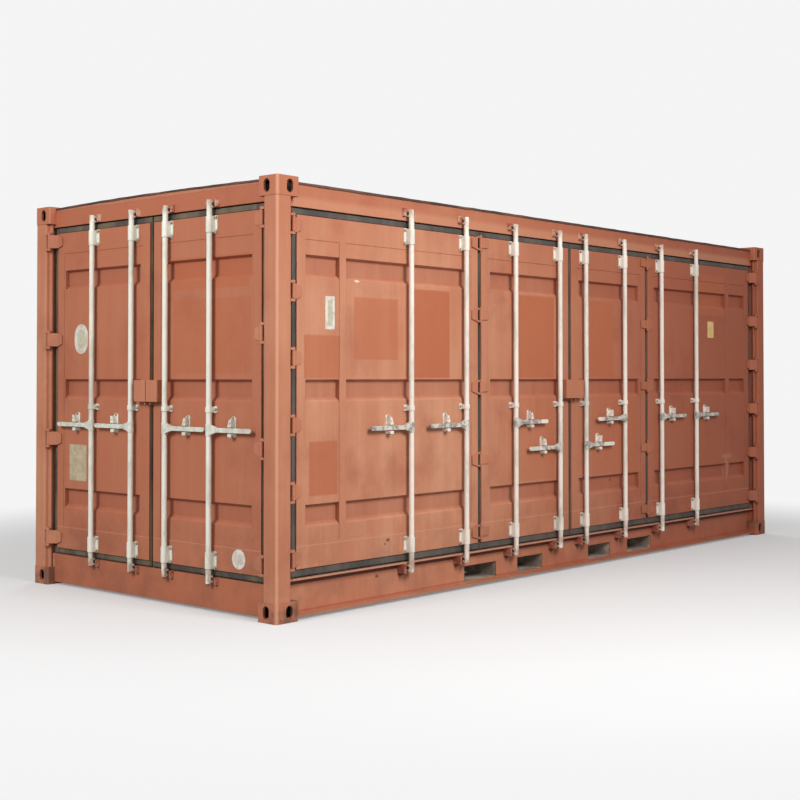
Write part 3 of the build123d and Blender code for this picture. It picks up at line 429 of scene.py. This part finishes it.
# Level bands on the bottom rail, all painted light: a highlight on the lip, the shadow beneath it, the
# shade where the bottom flange meets the rail, and the lit top of that flange.
LIP_LIGHT_AND_SHADE = [(0.229, 0.240, tone(196, 150, 124), 0.55), (0.197, 0.225, tone(84, 34, 24), 0.85),
             (0.029, 0.044, tone(160, 72, 42), 0.55), (0.000, 0.026, tone(158, 116, 94), 0.6)]
# Painted shadows under the cam keepers, one below each bar, and one real rust spot.
KEEPER_SHADOW = tone(84, 40, 28)
RUST_AND_KEEPER_SHADOWS = [(0.950, 0.167, 0.016, 0.011, RUST)]
for bar in SIDE_BARS:
    RUST_AND_KEEPER_SHADOWS += [(a - 0.015, 0.164, 0.036, 0.024, KEEPER_SHADOW) for a in (bar[0], LENGTH - bar[0])]

# With sunny, these groups turn darker towards the front end, partly painted shade.
dress(oxide_paint("paint_frame", fade=0.8, grime=0.2, wear=0.8, front_tone_and_shade=0.75),
      "rear_posts", "front_posts", "front_end_rails", "left_bottom_rail")
dress(oxide_paint("paint_rail", fade=0.8, grime=0.2, wear=0.8, front_tone_and_shade=0.75, lines=LIP_LIGHT_AND_SHADE, marks=RUST_AND_KEEPER_SHADOWS),
      "right_bottom_rail")
dress(oxide_paint("paint_top_rails", fade=0.55, wear=0.8, front_tone_and_shade=0.75, pale=0.45), "top_side_rails")
dress(oxide_paint("paint_end_rails", fade=0.15, grime=0.3, wear=0.7), "door_header", "door_sill")
dress(oxide_paint("paint_skin", fade=0.8, grime=0.45, wear=0.3, front_tone_and_shade=0.4),
      "front_wall", "left_wall", "roof", "roof_end_plates")
dress(oxide_paint("paint_under", fade=0.2, grime=1.0, wear=0.8), "cross_members")
dress(oxide_paint("paint_castings", fade=0.45, grime=1.2, wear=1.0, coarse=0.8, front_tone_and_shade=0.6, hollow=True),
      "bottom_corner_castings", "top_corner_castings")
dress(oxide_paint("paint_small_parts", fade=0.7, grime=0.45, wear=0.9, front_tone_and_shade=0.6),
      "side_door_hinges", "right_door_hinges", "left_door_hinges",
      "side_lock_box", "right_door_lock_box", "left_door_lock_box")
print("stains on the lip:", len(RUST_AND_KEEPER_SHADOWS))

# %% [markdown]
# Parts of the door leaves have been painted again, in patches with straight sides. They
# could be thin sheets laid on the steel, but new paint has no thickness to see, so they
# are windows in the paint itself. One pale level line, a painted highlight along a step in
# the door sheet, and a few chips and scuffs go over it.

# %% Paint the door leaves
SCUFF = tone(174, 114, 90)
SIDE_WINDOWS = [(0.704, 1.110, 1.528, 1.913, 0.6), (1.263, 1.628, 1.413, 1.989, 0.9),
                (0.271, 0.576, 1.411, 1.671, 0.7), (0.317, 0.558, 0.711, 1.034, 0.75),
                (2.390, 2.830, 1.413, 2.003, 0.85), (3.296, 3.624, 1.419, 2.000, 0.85),
                (2.390, 2.830, 0.680, 1.290, 0.4), (3.330, 3.800, 0.680, 1.290, 0.4),
                (3.838, 3.960, 0.620, 1.265, 0.5), (4.950, 5.400, 1.950, 2.300, 0.6)]
# A pale level line along the step in the door sheet, a painted highlight.
SIDE_EDGE_HIGHLIGHT = [(0.418, 0.425, tone(222, 170, 138), 0.22)]
SIDE_KNOCKS = [(0.729, 2.011, 0.024, 0.008, tone(238, 214, 190)), (1.010, 0.392, 0.018, 0.012, RUST),
               (0.985, 0.369, 0.010, 0.007, GRIME), (2.710, 0.950, 0.014, 0.009, RUST),
               (3.620, 0.620, 0.015, 0.010, RUST), (4.720, 1.350, 0.012, 0.012, GRIME),
               (5.445, 0.728, 0.100, 0.022, SCUFF), (5.432, 0.620, 0.028, 0.125, SCUFF)]
END_WINDOWS = [(0.300, 1.020, 1.960, 2.160, 0.6), (0.280, 1.000, 1.440, 1.900, 0.5)]
# The same painted highlight along the step in the rear door sheet.
END_EDGE_HIGHLIGHT = [(0.395, 0.402, tone(212, 156, 124), 0.3)]

dress(oxide_paint("paint_side_leaves", fade=1.05, grime=0.35, wear=0.45, windows=SIDE_WINDOWS,
                  front_tone_and_shade=0.9, trough_shade=0.35, lines=SIDE_EDGE_HIGHLIGHT, marks=SIDE_KNOCKS),
      "side_leaf_1", "side_leaf_2", "side_leaf_3", "side_leaf_4")
dress(oxide_paint("paint_end_leaves", fade=0.35, grime=0.4, wear=0.45, windows=END_WINDOWS,
                  rear=True, trough_shade=0.3, lines=END_EDGE_HIGHLIGHT),
      "right_door_leaf", "left_door_leaf")
print("painted nodes:", sum(1 for o in nodes.values() if o.data.materials[0].name.startswith("paint")))

# %% [markdown]
# Two places never stay red. The keepers that hold the cams are knocked every time a door
# shuts, so they are half rust and half pale bare filler. The forklift pockets are scraped
# by steel arms and filled with road dirt. Both could be the red paint with much more wear,
# but hardly any red is left, so one simpler finish of two tones serves for both.

# %% Rusty keepers and dirty pockets
KEEPER_RED = tone(150, 74, 52)
FILLER = tone(208, 172, 146)
SOOT = tone(134, 122, 112)
SCRAPED = tone(206, 188, 172)
SMALL_EDGE_R = 0.003


def worn_steel(name, base, patch, spread, low, high):
    """Two tones in ragged patches, with a share low down and one high up, and knocked edges."""
    f = Finish(name)
    share = low + f.z.between(1.0, 2.0) * (high - low)
    fine = f.noise(48, 5, 0.7)
    patches = f.noise(spread, 6, 0.7, shift=(2, 8, 5)).between(0.40, 0.62)
    colour = f.mix(patches * share, base, patch)
    soft, edge = f.edges(SMALL_EDGE_R)
    knocked = (edge * 8.0).least(1.0) * fine.between(0.40, 0.62)
    colour = f.mix(knocked * 0.6, colour, RUST)
    return f.set(BaseColor=f.shade(colour, 0.88 + fine * 0.2), Roughness=0.68 + fine * 0.15,
                 Metallic=0.0, Normal=f.bump(fine + patches * 0.6, 0.4, 0.001, soft))


dress(worn_steel("keeper_rust", KEEPER_RED, FILLER, 23, 0.3, 0.9), "cam_keepers")
dress(worn_steel("pocket_dirt", SOOT, SCRAPED, 6, 0.8, 0.8), "fork_pockets")
print("worn:", [nodes[name].data.materials[0].name for name in ("cam_keepers", "fork_pockets")])

# %% [markdown]
# The locking bars, their bearings and retainers are painted off-white. That paint is thin:
# grey grime gathers round the fittings, and rust bleeds from the cams at both ends of a bar.
# The handles are darker, partly grey metal and partly painted shade, most on the side where
# they hang in shadow. The two middle bars have theirs a little lower. A bar could be split
# into a shaft, ends and a grip with a material each, but the changes are gradual, so one
# finish reads them from the height.

# %% Off-white paint of the bars and fittings
CREAM = tone(236, 226, 213)
GREENISH = tone(230, 230, 216)
GREYED = tone(178, 176, 160)
GRIP_GREY_AND_SHADE = tone(128, 124, 118)
BLEED = tone(150, 104, 74)
BAR_FOOT_Z = (0.20, 0.34)
BAR_TOP_Z = (2.40, 2.50)
MIDDLE_BARS = (0.40, 0.42)
GRIP_Z = (1.0675, 1.1325)
GRIP_EDGE = 0.0075


def bar_paint(name, base, ends=0.0, grip=0.5):
    """Off-white paint. With ends above 0, rust bleeds at both ends and the handle is darker, grey metal and
    painted shade, by as much as grip asks.
    """
    f = Finish(name)
    fine = f.noise(42, 5, 0.7, stretch=(1, 1, 0.4))
    dirt = f.noise(6, 6, 0.7, stretch=(1, 1, 0.35)).between(0.44, 0.70)
    colour = f.mix(dirt * 0.75, base, GREYED)
    soft, edge = f.edges(SMALL_EDGE_R)
    worn = (edge * 7.0).least(1.0) * f.noise(30, 5, 0.7).between(0.46, 0.62)
    colour = f.mix(worn * 0.6, colour, BLEED)
    if ends:
        far = (1 - f.z.between(*BAR_FOOT_Z)).most(f.z.between(*BAR_TOP_Z))
        bled = far * f.noise(24, 5, 0.7, stretch=(1, 1, 0.4)).between(0.38, 0.62) * ends
        colour = f.mix(bled.least(1.0), colour, BLEED)
        height = f.z + (1 - f.x.size().between(*MIDDLE_BARS)) * LOWER
        grip_patches = 0.25 + f.noise(26, 5, 0.7, shift=(4, 4, 4)).between(0.42, 0.60) * 0.75
        colour = f.mix(height.within(*GRIP_Z, GRIP_EDGE) * grip_patches * grip, colour, GRIP_GREY_AND_SHADE)
    colour = f.shade(colour, 0.92 + fine * 0.14)
    return f.set(BaseColor=colour, Roughness=0.46 + fine * 0.2, Metallic=0.0,
                 Normal=f.bump(fine + f.noise(180, 2) * 0.4, 0.3, 0.0008, soft))


bars = [name for name in nodes if "_bar_" in name and "fittings" not in name]
side_bars = [name for name in bars if name.startswith("side_")]
end_bars = [name for name in bars if name not in side_bars]
# The side's grips get more of the painted shade than the rear end's.
dress(bar_paint("side_bar_paint", CREAM, ends=0.8, grip=0.9), *side_bars)
dress(bar_paint("end_bar_paint", GREENISH, ends=0.8, grip=0.3), *end_bars)
dress(bar_paint("side_fitting_paint", CREAM), "side_bar_fittings")
dress(bar_paint("end_fitting_paint", GREENISH), "right_door_fittings", "left_door_fittings")
print("bars:", len(bars))

# %% [markdown]
# The seals are black rubber gone grey and olive with dust. The floor is hardwood plywood in
# long boards, brown and scuffed by pallets, and only shows through an open door. Boards
# could be modelled one by one, but from outside a dark line between them is enough.

# %% Rubber and wood
RUBBER = tone(66, 60, 56)
SLATE = tone(98, 89, 80)
OLIVE = tone(118, 104, 80)
WOOD = tone(128, 92, 62)
DARK_WOOD = tone(88, 60, 40)
BOARD = 0.14


def seal_rubber(name, dusty):
    """Rubber with dust on it, in a tone of its own."""
    f = Finish(name)
    fine = f.noise(60, 4, 0.6)
    dust = f.noise(5, 5, 0.7, stretch=(1, 1, 0.4)).between(0.36, 0.66)
    colour = f.mix(dust * 0.8, RUBBER, dusty)
    soft, edge = f.edges(SMALL_EDGE_R)
    return f.set(BaseColor=f.shade(colour, 0.9 + fine * 0.2), Roughness=0.72 + fine * 0.1,
                 Normal=f.bump(fine, 0.3, 0.0008, soft))


def floor_wood():
    """Boards along the length, with dark gaps, grain and scuffs."""
    f = Finish("floor_wood")
    grain = f.noise(30, 6, 0.65, stretch=(0.08, 1, 1))
    board = f.y.repeat(BOARD)
    flat = 1 - (board - 0.5).size().between(0.47, 0.495)
    scuff = f.noise(4, 6, 0.7, stretch=(0.4, 1, 1)).between(0.45, 0.7)
    colour = f.mix(grain.between(0.3, 0.7), DARK_WOOD, WOOD)
    colour = f.mix(scuff * 0.5, colour, DARK_WOOD)
    colour = f.shade(colour, 0.35 + flat * 0.65)
    return f.set(BaseColor=colour, Roughness=0.7 + grain * 0.15,
                 Normal=f.bump(grain + flat, 0.4, 0.001))


dress(seal_rubber("seal_slate", SLATE), "side_door_seals")
dress(seal_rubber("seal_olive", OLIVE), "right_door_seal", "left_door_seal")
dress(floor_wood(), "floor")
left_plain = [name for name, o in nodes.items() if not o.data.materials[0].use_nodes]
print("nodes without a finish:", left_plain)

# %% [markdown]
# Bolts hold every bearing plate. A bump could hint at them, but they catch the light from
# the side, so they are real. One is modelled from a six-sided cylinder, whose top face is
# inset and raised, on a round washer with a bevelled rim. Faces are selected in code, by
# where they are and which way they look, because there is no mouse to pick them with.

# %% Selecting and settling


def fresh():
    """Back to object mode with nothing selected."""
    if bpy.context.object and bpy.context.object.mode != "OBJECT":
        bpy.ops.object.mode_set(mode="OBJECT")
    bpy.ops.object.select_all(action="DESELECT")


def pick_top(obj):
    """Select the faces that look up, and go to edit mode."""
    bpy.ops.object.mode_set(mode="EDIT")
    bpy.ops.mesh.select_mode(type="FACE")
    bpy.ops.mesh.select_all(action="DESELECT")
    bpy.ops.object.mode_set(mode="OBJECT")
    for face in obj.data.polygons:
        face.select = face.normal.z > 0.9
    bpy.ops.object.mode_set(mode="EDIT")


def pick_edges(box, axis, length):
    """Write a box's size into its mesh and select the edges that run its length, in edit mode."""
    bpy.ops.object.transform_apply(location=True, rotation=True, scale=True)
    bpy.ops.object.mode_set(mode="EDIT")
    bpy.ops.mesh.select_mode(type="EDGE")
    bpy.ops.mesh.select_all(action="DESELECT")
    bpy.ops.object.mode_set(mode="OBJECT")
    for edge in box.data.edges:
        a, b = (box.data.vertices[i].co for i in edge.vertices)
        edge.select = abs(a[axis] - b[axis]) > length / 2
    bpy.ops.object.mode_set(mode="EDIT")


def settle():
    """Leave edit mode and write the object's place into its mesh."""
    bpy.ops.object.mode_set(mode="OBJECT")
    bpy.ops.object.transform_apply(location=True, rotation=True, scale=True)


print("helpers ready, with", len(bpy.context.selected_objects), "objects still selected")

# %% Model one bolt head
BOLT_R = 0.0075
BOLT_H = 0.006
WASHER_R = 0.0115
WASHER_T = 0.002


def bolt_head():
    """A six-sided head on a washer, standing on Z = 0."""
    fresh()
    bpy.ops.mesh.primitive_cylinder_add(vertices=6, radius=BOLT_R, depth=BOLT_H,
                                        location=(0, 0, WASHER_T + BOLT_H / 2))
    head = bpy.context.object
    pick_top(head)
    bpy.ops.mesh.inset(thickness=BOLT_R * 0.22, depth=BOLT_R * 0.12)
    settle()
    bpy.ops.object.select_all(action="DESELECT")
    bpy.ops.mesh.primitive_cylinder_add(vertices=12, radius=WASHER_R, depth=WASHER_T,
                                        location=(0, 0, WASHER_T / 2))
    washer = bpy.context.object
    pick_top(washer)
    bpy.ops.mesh.bevel(offset=WASHER_T * 0.4, segments=1, affect="EDGES")
    settle()
    head.select_set(True)
    bpy.context.view_layer.objects.active = head
    bpy.ops.object.join()
    return head


bolt = bolt_head()
print("bolt faces:", len(bolt.data.polygons))

# %% [markdown]
# Every bearing has four bolts, every guide two and every handle retainer two. An array
# would only fit a regular grid, so the bolt is copied to a list of places, each copy with
# its own mesh. The copies on one moving body are joined, so that they swing with it.

# %% Bolts on the bearings, guides and retainers
END_BARS = (0.622, 1.046)
BOLT_ACROSS = 0.033
BOLT_UP = 0.041
BEARING_T = 0.006
BEARING_HALF = 0.0575
GUIDE_Z = 1.222
RETAINER_AT = 0.191
RETAINER_BOLTS = (-0.037, 0.074)
SIDE_Z = (0.290, 2.378)
END_Z = (0.253, 2.404)


def fitting_bolts(spot, a, z_limits, handle_z, way):
    """Bolt places on the two bearings, the guide and the retainer of one bar."""
    front = DOOR_FACE - BEARING_T
    places = []
    for z in (z_limits[0] + BEARING_HALF, z_limits[1] - BEARING_HALF):
        places += [spot(a + i * BOLT_ACROSS, z + k * BOLT_UP, front) for i in (-1, 1) for k in (-1, 1)]
    places += [spot(a + i * BOLT_ACROSS, GUIDE_Z, front) for i in (-1, 1)]
    places += [spot(a + way * RETAINER_AT, handle_z + up, front) for up in RETAINER_BOLTS]
    return places


def copies(model, places, name, body, material):
    """Copies of a model at many places, each with its own mesh, joined into one piece."""
    fresh()
    made = []
    for place in places:
        twin = model.copy()
        twin.data = model.data.copy()
        twin.data.transform(place)
        bpy.context.scene.collection.objects.link(twin)
        twin.select_set(True)
        made.append(twin)
    bpy.context.view_layer.objects.active = made[0]
    bpy.ops.object.join()
    piece = bpy.context.object
    piece.name = name
    piece.data.materials.clear()
    piece.data.materials.append(material)
    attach(piece, body)
    return piece


def steel_bolts():
    """Dull zinc with brown stains."""
    f = Finish("bolt_steel")
    fine = f.noise(140, 4, 0.6)
    colour = f.mix(f.noise(40, 4).between(0.4, 0.6), tone(186, 180, 166), tone(160, 132, 110))
    return f.set(BaseColor=f.shade(colour, 0.85 + fine * 0.3), Roughness=0.6 + fine * 0.2,
                 Metallic=0.0, Normal=f.bump(fine, 0.3, 0.0005))


bolt_steel = steel_bolts()
side_places = []
for a, handle_z, way in SIDE_BARS:
    side_places += fitting_bolts(on_side, a, SIDE_Z, handle_z, way)
    side_places += fitting_bolts(on_side, LENGTH - a, SIDE_Z, handle_z, -way)
right_places = []
left_places = []
for v in END_BARS:
    right_places += fitting_bolts(on_end, v, END_Z, HANDLE_Z, -1)
    left_places += fitting_bolts(on_end, WIDTH - v, END_Z, HANDLE_Z, 1)
copies(bolt, side_places, "side_bolts", "root", bolt_steel)
copies(bolt, right_places, "right_door_bolts", "right_door", bolt_steel)
copies(bolt, left_places, "left_door_bolts", "left_door", bolt_steel)
bpy.data.objects.remove(bolt)
print("bolts:", len(side_places) + len(right_places) + len(left_places))

# %% [markdown]
# A blank alloy plate is fixed to the left rear door, and a few plain stickers have aged on
# the doors. A flat rectangle would do from afar, but its square corners would look cut out,
# so each is a thin box whose four shortest edges are bevelled.

# %% Plates and stickers
PLATE_T = 0.0014
STICKER_T = 0.0006
MIDDLE_T = 0.0004


def thin_sheet(name, width, height, corner, spot, body, material, thick):
    """A thin plate with rounded corners, lying on a door."""
    fresh()
    bpy.ops.mesh.primitive_cube_add(size=1, location=(0, 0, thick / 2), scale=(width, height, thick))
    piece = bpy.context.object
    pick_edges(piece, 2, thick)
    bpy.ops.mesh.bevel(offset=corner, segments=6, affect="EDGES")
    settle()
    piece.data.transform(spot)
    piece.name = name
    piece.data.materials.append(material)
    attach(piece, body)
    return piece


def plain_sheet(name, light, dark, amount, rough=0.5):
    """A faded sheet, blotched by sun and dirt."""
    f = Finish(name)
    blotch = f.noise(18, 6, 0.7).between(0.38, 0.66)
    fine = f.noise(150, 3, 0.6)
    colour = f.mix(blotch * amount, light, dark)
    return f.set(BaseColor=f.shade(colour, 0.9 + fine * 0.2), Roughness=rough + fine * 0.15,
                 Metallic=0.0, Normal=f.bump(fine, 0.25, 0.0004))


alloy = plain_sheet("plate_alloy", tone(196, 180, 148), tone(158, 140, 114), 0.7)
pale = plain_sheet("sticker_pale", tone(226, 222, 212), tone(176, 150, 130), 0.6)
yellowed = plain_sheet("sticker_yellowed", tone(226, 192, 122), tone(190, 150, 96), 0.5)
dull = plain_sheet("sticker_dull", tone(204, 196, 170), tone(158, 148, 130), 0.6)
panel = DOOR_FACE + PANEL_STEP
over = panel - STICKER_T
SHEETS = (("blank_plate", 0.192, 0.243, 0.010, on_end(2.012, 0.842, panel), "left_door", alloy, PLATE_T),
          ("oval_sticker", 0.150, 0.200, 0.0745, on_end(1.982, 1.676, panel), "left_door", pale, STICKER_T),
          ("round_sticker", 0.118, 0.118, 0.0585, on_end(0.386, 0.336, DOOR_FACE), "right_door", pale,
           STICKER_T),
          ("oval_middle", 0.086, 0.126, 0.0425, on_end(1.982, 1.676, over), "left_door", dull, MIDDLE_T),
          ("side_label", 0.080, 0.200, 0.006, on_side(0.492, 1.808, panel), "root", pale, STICKER_T),
          ("label_middle", 0.042, 0.158, 0.004, on_side(0.494, 1.806, over), "root", dull, MIDDLE_T),
          ("far_label", 0.105, 0.140, 0.006, on_side(5.166, 1.828, panel), "root", yellowed, STICKER_T))
for sheet in SHEETS:
    thin_sheet(*sheet)
print("sheets:", len(SHEETS))

# %% [markdown]
# Where the roof is welded to the rails, a bead of dark sealant follows the edge. It was laid
# by hand, so it wanders a little. A curve with a round bevel would be too even. Along the
# sides the bead starts as a long thin box that is cut into short lengths. Over the bowed
# ends a small square is swept along a shallow arc with the spin tool. Then the corners of
# both are nudged.

# %% Sealant along the roof's edges
RAIL_TOP = 2.560
CAST_L = 0.178
CAST_W = 0.162
PLAIN_INSET = 0.008
CAP_SIDE = 2.575
CAP_MIDDLE = 2.587
BEAD = 0.012
SIDE_BEAD = 0.014
WANDER = 0.0022
SIDE_CUTS = 70
END_STEPS = 32


def sealant():
    """Dark sealant, browner where dust has stuck to it."""
    f = Finish("sealant")
    fine = f.noise(60, 4, 0.65)
    colour = f.mix(f.noise(3, 5, 0.7).between(0.4, 0.65), tone(58, 40, 36), tone(104, 70, 56))
    return f.set(BaseColor=f.shade(colour, 0.85 + fine * 0.3), Roughness=0.7 + fine * 0.15,
                 Normal=f.bump(fine, 0.4, 0.001))


def bead_piece(bead, name):
    """Nudge the corners of a bead, settle it and hand it to the frame."""
    bpy.ops.mesh.select_all(action="SELECT")
    bpy.ops.transform.vertex_random(offset=WANDER, seed=len(name))
    bpy.ops.mesh.normals_make_consistent(inside=False)
    settle()
    bead.name = name
    bead.data.materials.append(sealant_black)
    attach(bead, "root")


def side_bead(name, y):
    """A bead between the castings of one side."""
    span = LENGTH - 2 * CAST_L
    fresh()
    bpy.ops.mesh.primitive_cube_add(size=1, location=(0, y, RAIL_TOP + SIDE_BEAD / 4),
                                    scale=(span, SIDE_BEAD, SIDE_BEAD))
    bead = bpy.context.object
    pick_edges(bead, 0, span)
    bpy.ops.mesh.subdivide(number_cuts=SIDE_CUTS)
    bead_piece(bead, name)


def end_bead(name, x):
    """A bead over the bow of one end, on the circle through its two ends and its middle."""
    half = WIDTH / 2 - CAST_W
    rise = CAP_MIDDLE - CAP_SIDE
    radius = (half * half + rise * rise) / (2 * rise)
    fresh()
    bpy.ops.mesh.primitive_plane_add(size=BEAD, location=(x, -half, CAP_SIDE),
                                     rotation=(math.radians(90), 0, 0))
    bead = bpy.context.object
    bpy.ops.object.transform_apply(location=True, rotation=True, scale=True)
    bpy.ops.object.mode_set(mode="EDIT")
    bpy.ops.mesh.select_all(action="SELECT")
    bpy.ops.mesh.spin(steps=END_STEPS, angle=2 * math.asin(half / radius),
                      center=(x, 0, CAP_MIDDLE - radius), axis=(1, 0, 0))
    bead_piece(bead, name)


sealant_black = sealant()
side_bead("right_roof_bead", DOOR_FACE - WIDTH / 2)
side_bead("left_roof_bead", WIDTH / 2 - PLAIN_INSET)
end_bead("rear_roof_bead", DOOR_FACE - LENGTH / 2)
end_bead("front_roof_bead", LENGTH / 2 - PLAIN_INSET)

# %% [markdown]
# The studio is a pale floor under a pale world. A white world alone would flood the object
# with light from all round, so camera rays see the world and the far floor as near white,
# while the light that both shed on the object stays moderate.

# %% World and floor
AMBIENT = 0.40
BACKDROP = 0.91
BOUNCE = 0.20
FLOOR_SIZE = 160
FLOOR_SEEN = tone(213, 213, 213)
FLOOR_LIT = tone(150, 150, 150)
FLOOR_GLOW = 0.25
FADE_OUT = (3.4, 6.4)


def studio_world():
    """Near white to the camera and in reflections, and dimmer as a source of light."""
    world = bpy.data.worlds.new("studio")
    bpy.context.scene.world = world
    world.use_nodes = True
    sky = Graph(world.node_tree)
    back = sky.tree.nodes["Background"]
    seen = sky.node("ShaderNodeLightPath", {}, {}, "Is Camera Ray")
    mirrored = sky.node("ShaderNodeLightPath", {}, {}, "Is Glossy Ray")
    sky.feed(back.inputs["Color"], (1.0, 1.0, 1.0, 1.0))
    sky.feed(back.inputs["Strength"], AMBIENT + seen.most(mirrored) * (BACKDROP - AMBIENT))
    return world


def grey(level):
    """An even grey as a colour."""
    return (level, level, level, 1.0)


def studio_floor():
    """A floor that looks pale, fades into the backdrop, and throws little light back up."""
    fresh()
    bpy.ops.mesh.primitive_plane_add(size=FLOOR_SIZE, location=(0, 0, 0))
    floor = bpy.context.object
    floor.name = "studio_floor"
    f = Finish("studio_floor")
    seen = f.node("ShaderNodeLightPath", {}, {}, "Is Camera Ray")
    f.set(BaseColor=f.mix(seen, FLOOR_LIT, FLOOR_SEEN), Roughness=0.9)
    pale_glow = f.mix(seen, grey(BOUNCE), grey(BACKDROP))
    glow = f.node("ShaderNodeEmission", {}, {"Color": pale_glow, "Strength": 1.0})
    away = (f.x * f.x + f.y * f.y) ** 0.5
    share = FLOOR_GLOW + away.between(*FADE_OUT) * (1 - FLOOR_GLOW)
    blend = f.node("ShaderNodeMixShader", {}, {0: share, 1: Wire(f, f.shader.outputs[0]), 2: glow})
    f.feed(f.tree.nodes["Material Output"].inputs["Surface"], blend)
    floor.data.materials.append(f.material)
    return floor


world = studio_world()
floor = studio_floor()
print("world:", world.name, "floor:", floor.name)

# %% [markdown]
# Each door face has a broad soft lamp in front of it, high up, so bars and handles throw
# short shadows beside and below them. A sun would light both faces at once, but evenly and
# with hard shadows. A weaker lamp fills the closed sides.

# %% Lamps


def soft_lamp(name, place, target, size, power):
    """A square lamp that the camera doesn't see, turned towards its target."""
    bpy.ops.object.light_add(type="AREA", location=place)
    lamp = bpy.context.object
    lamp.name = name
    lamp.data.size = size
    lamp.data.energy = power
    lamp.visible_camera = False
    lamp.rotation_euler = (Vector(target) - Vector(place)).to_track_quat("-Z", "Y").to_euler()
    return lamp


lamps = [soft_lamp("side_key", (-2.8, -6.9, 4.8), (-2.2, -1.2, 1.0), 2.6, 420),
         soft_lamp("end_key", (-9.6, -0.8, 5.0), (-3.0, 0.0, 1.1), 2.6, 415),
         soft_lamp("back_fill", (5.5, 6.5, 5.5), (1.0, 1.2, 1.0), 3.4, 200)]
print("lamps:", len(lamps))

# %% [markdown]
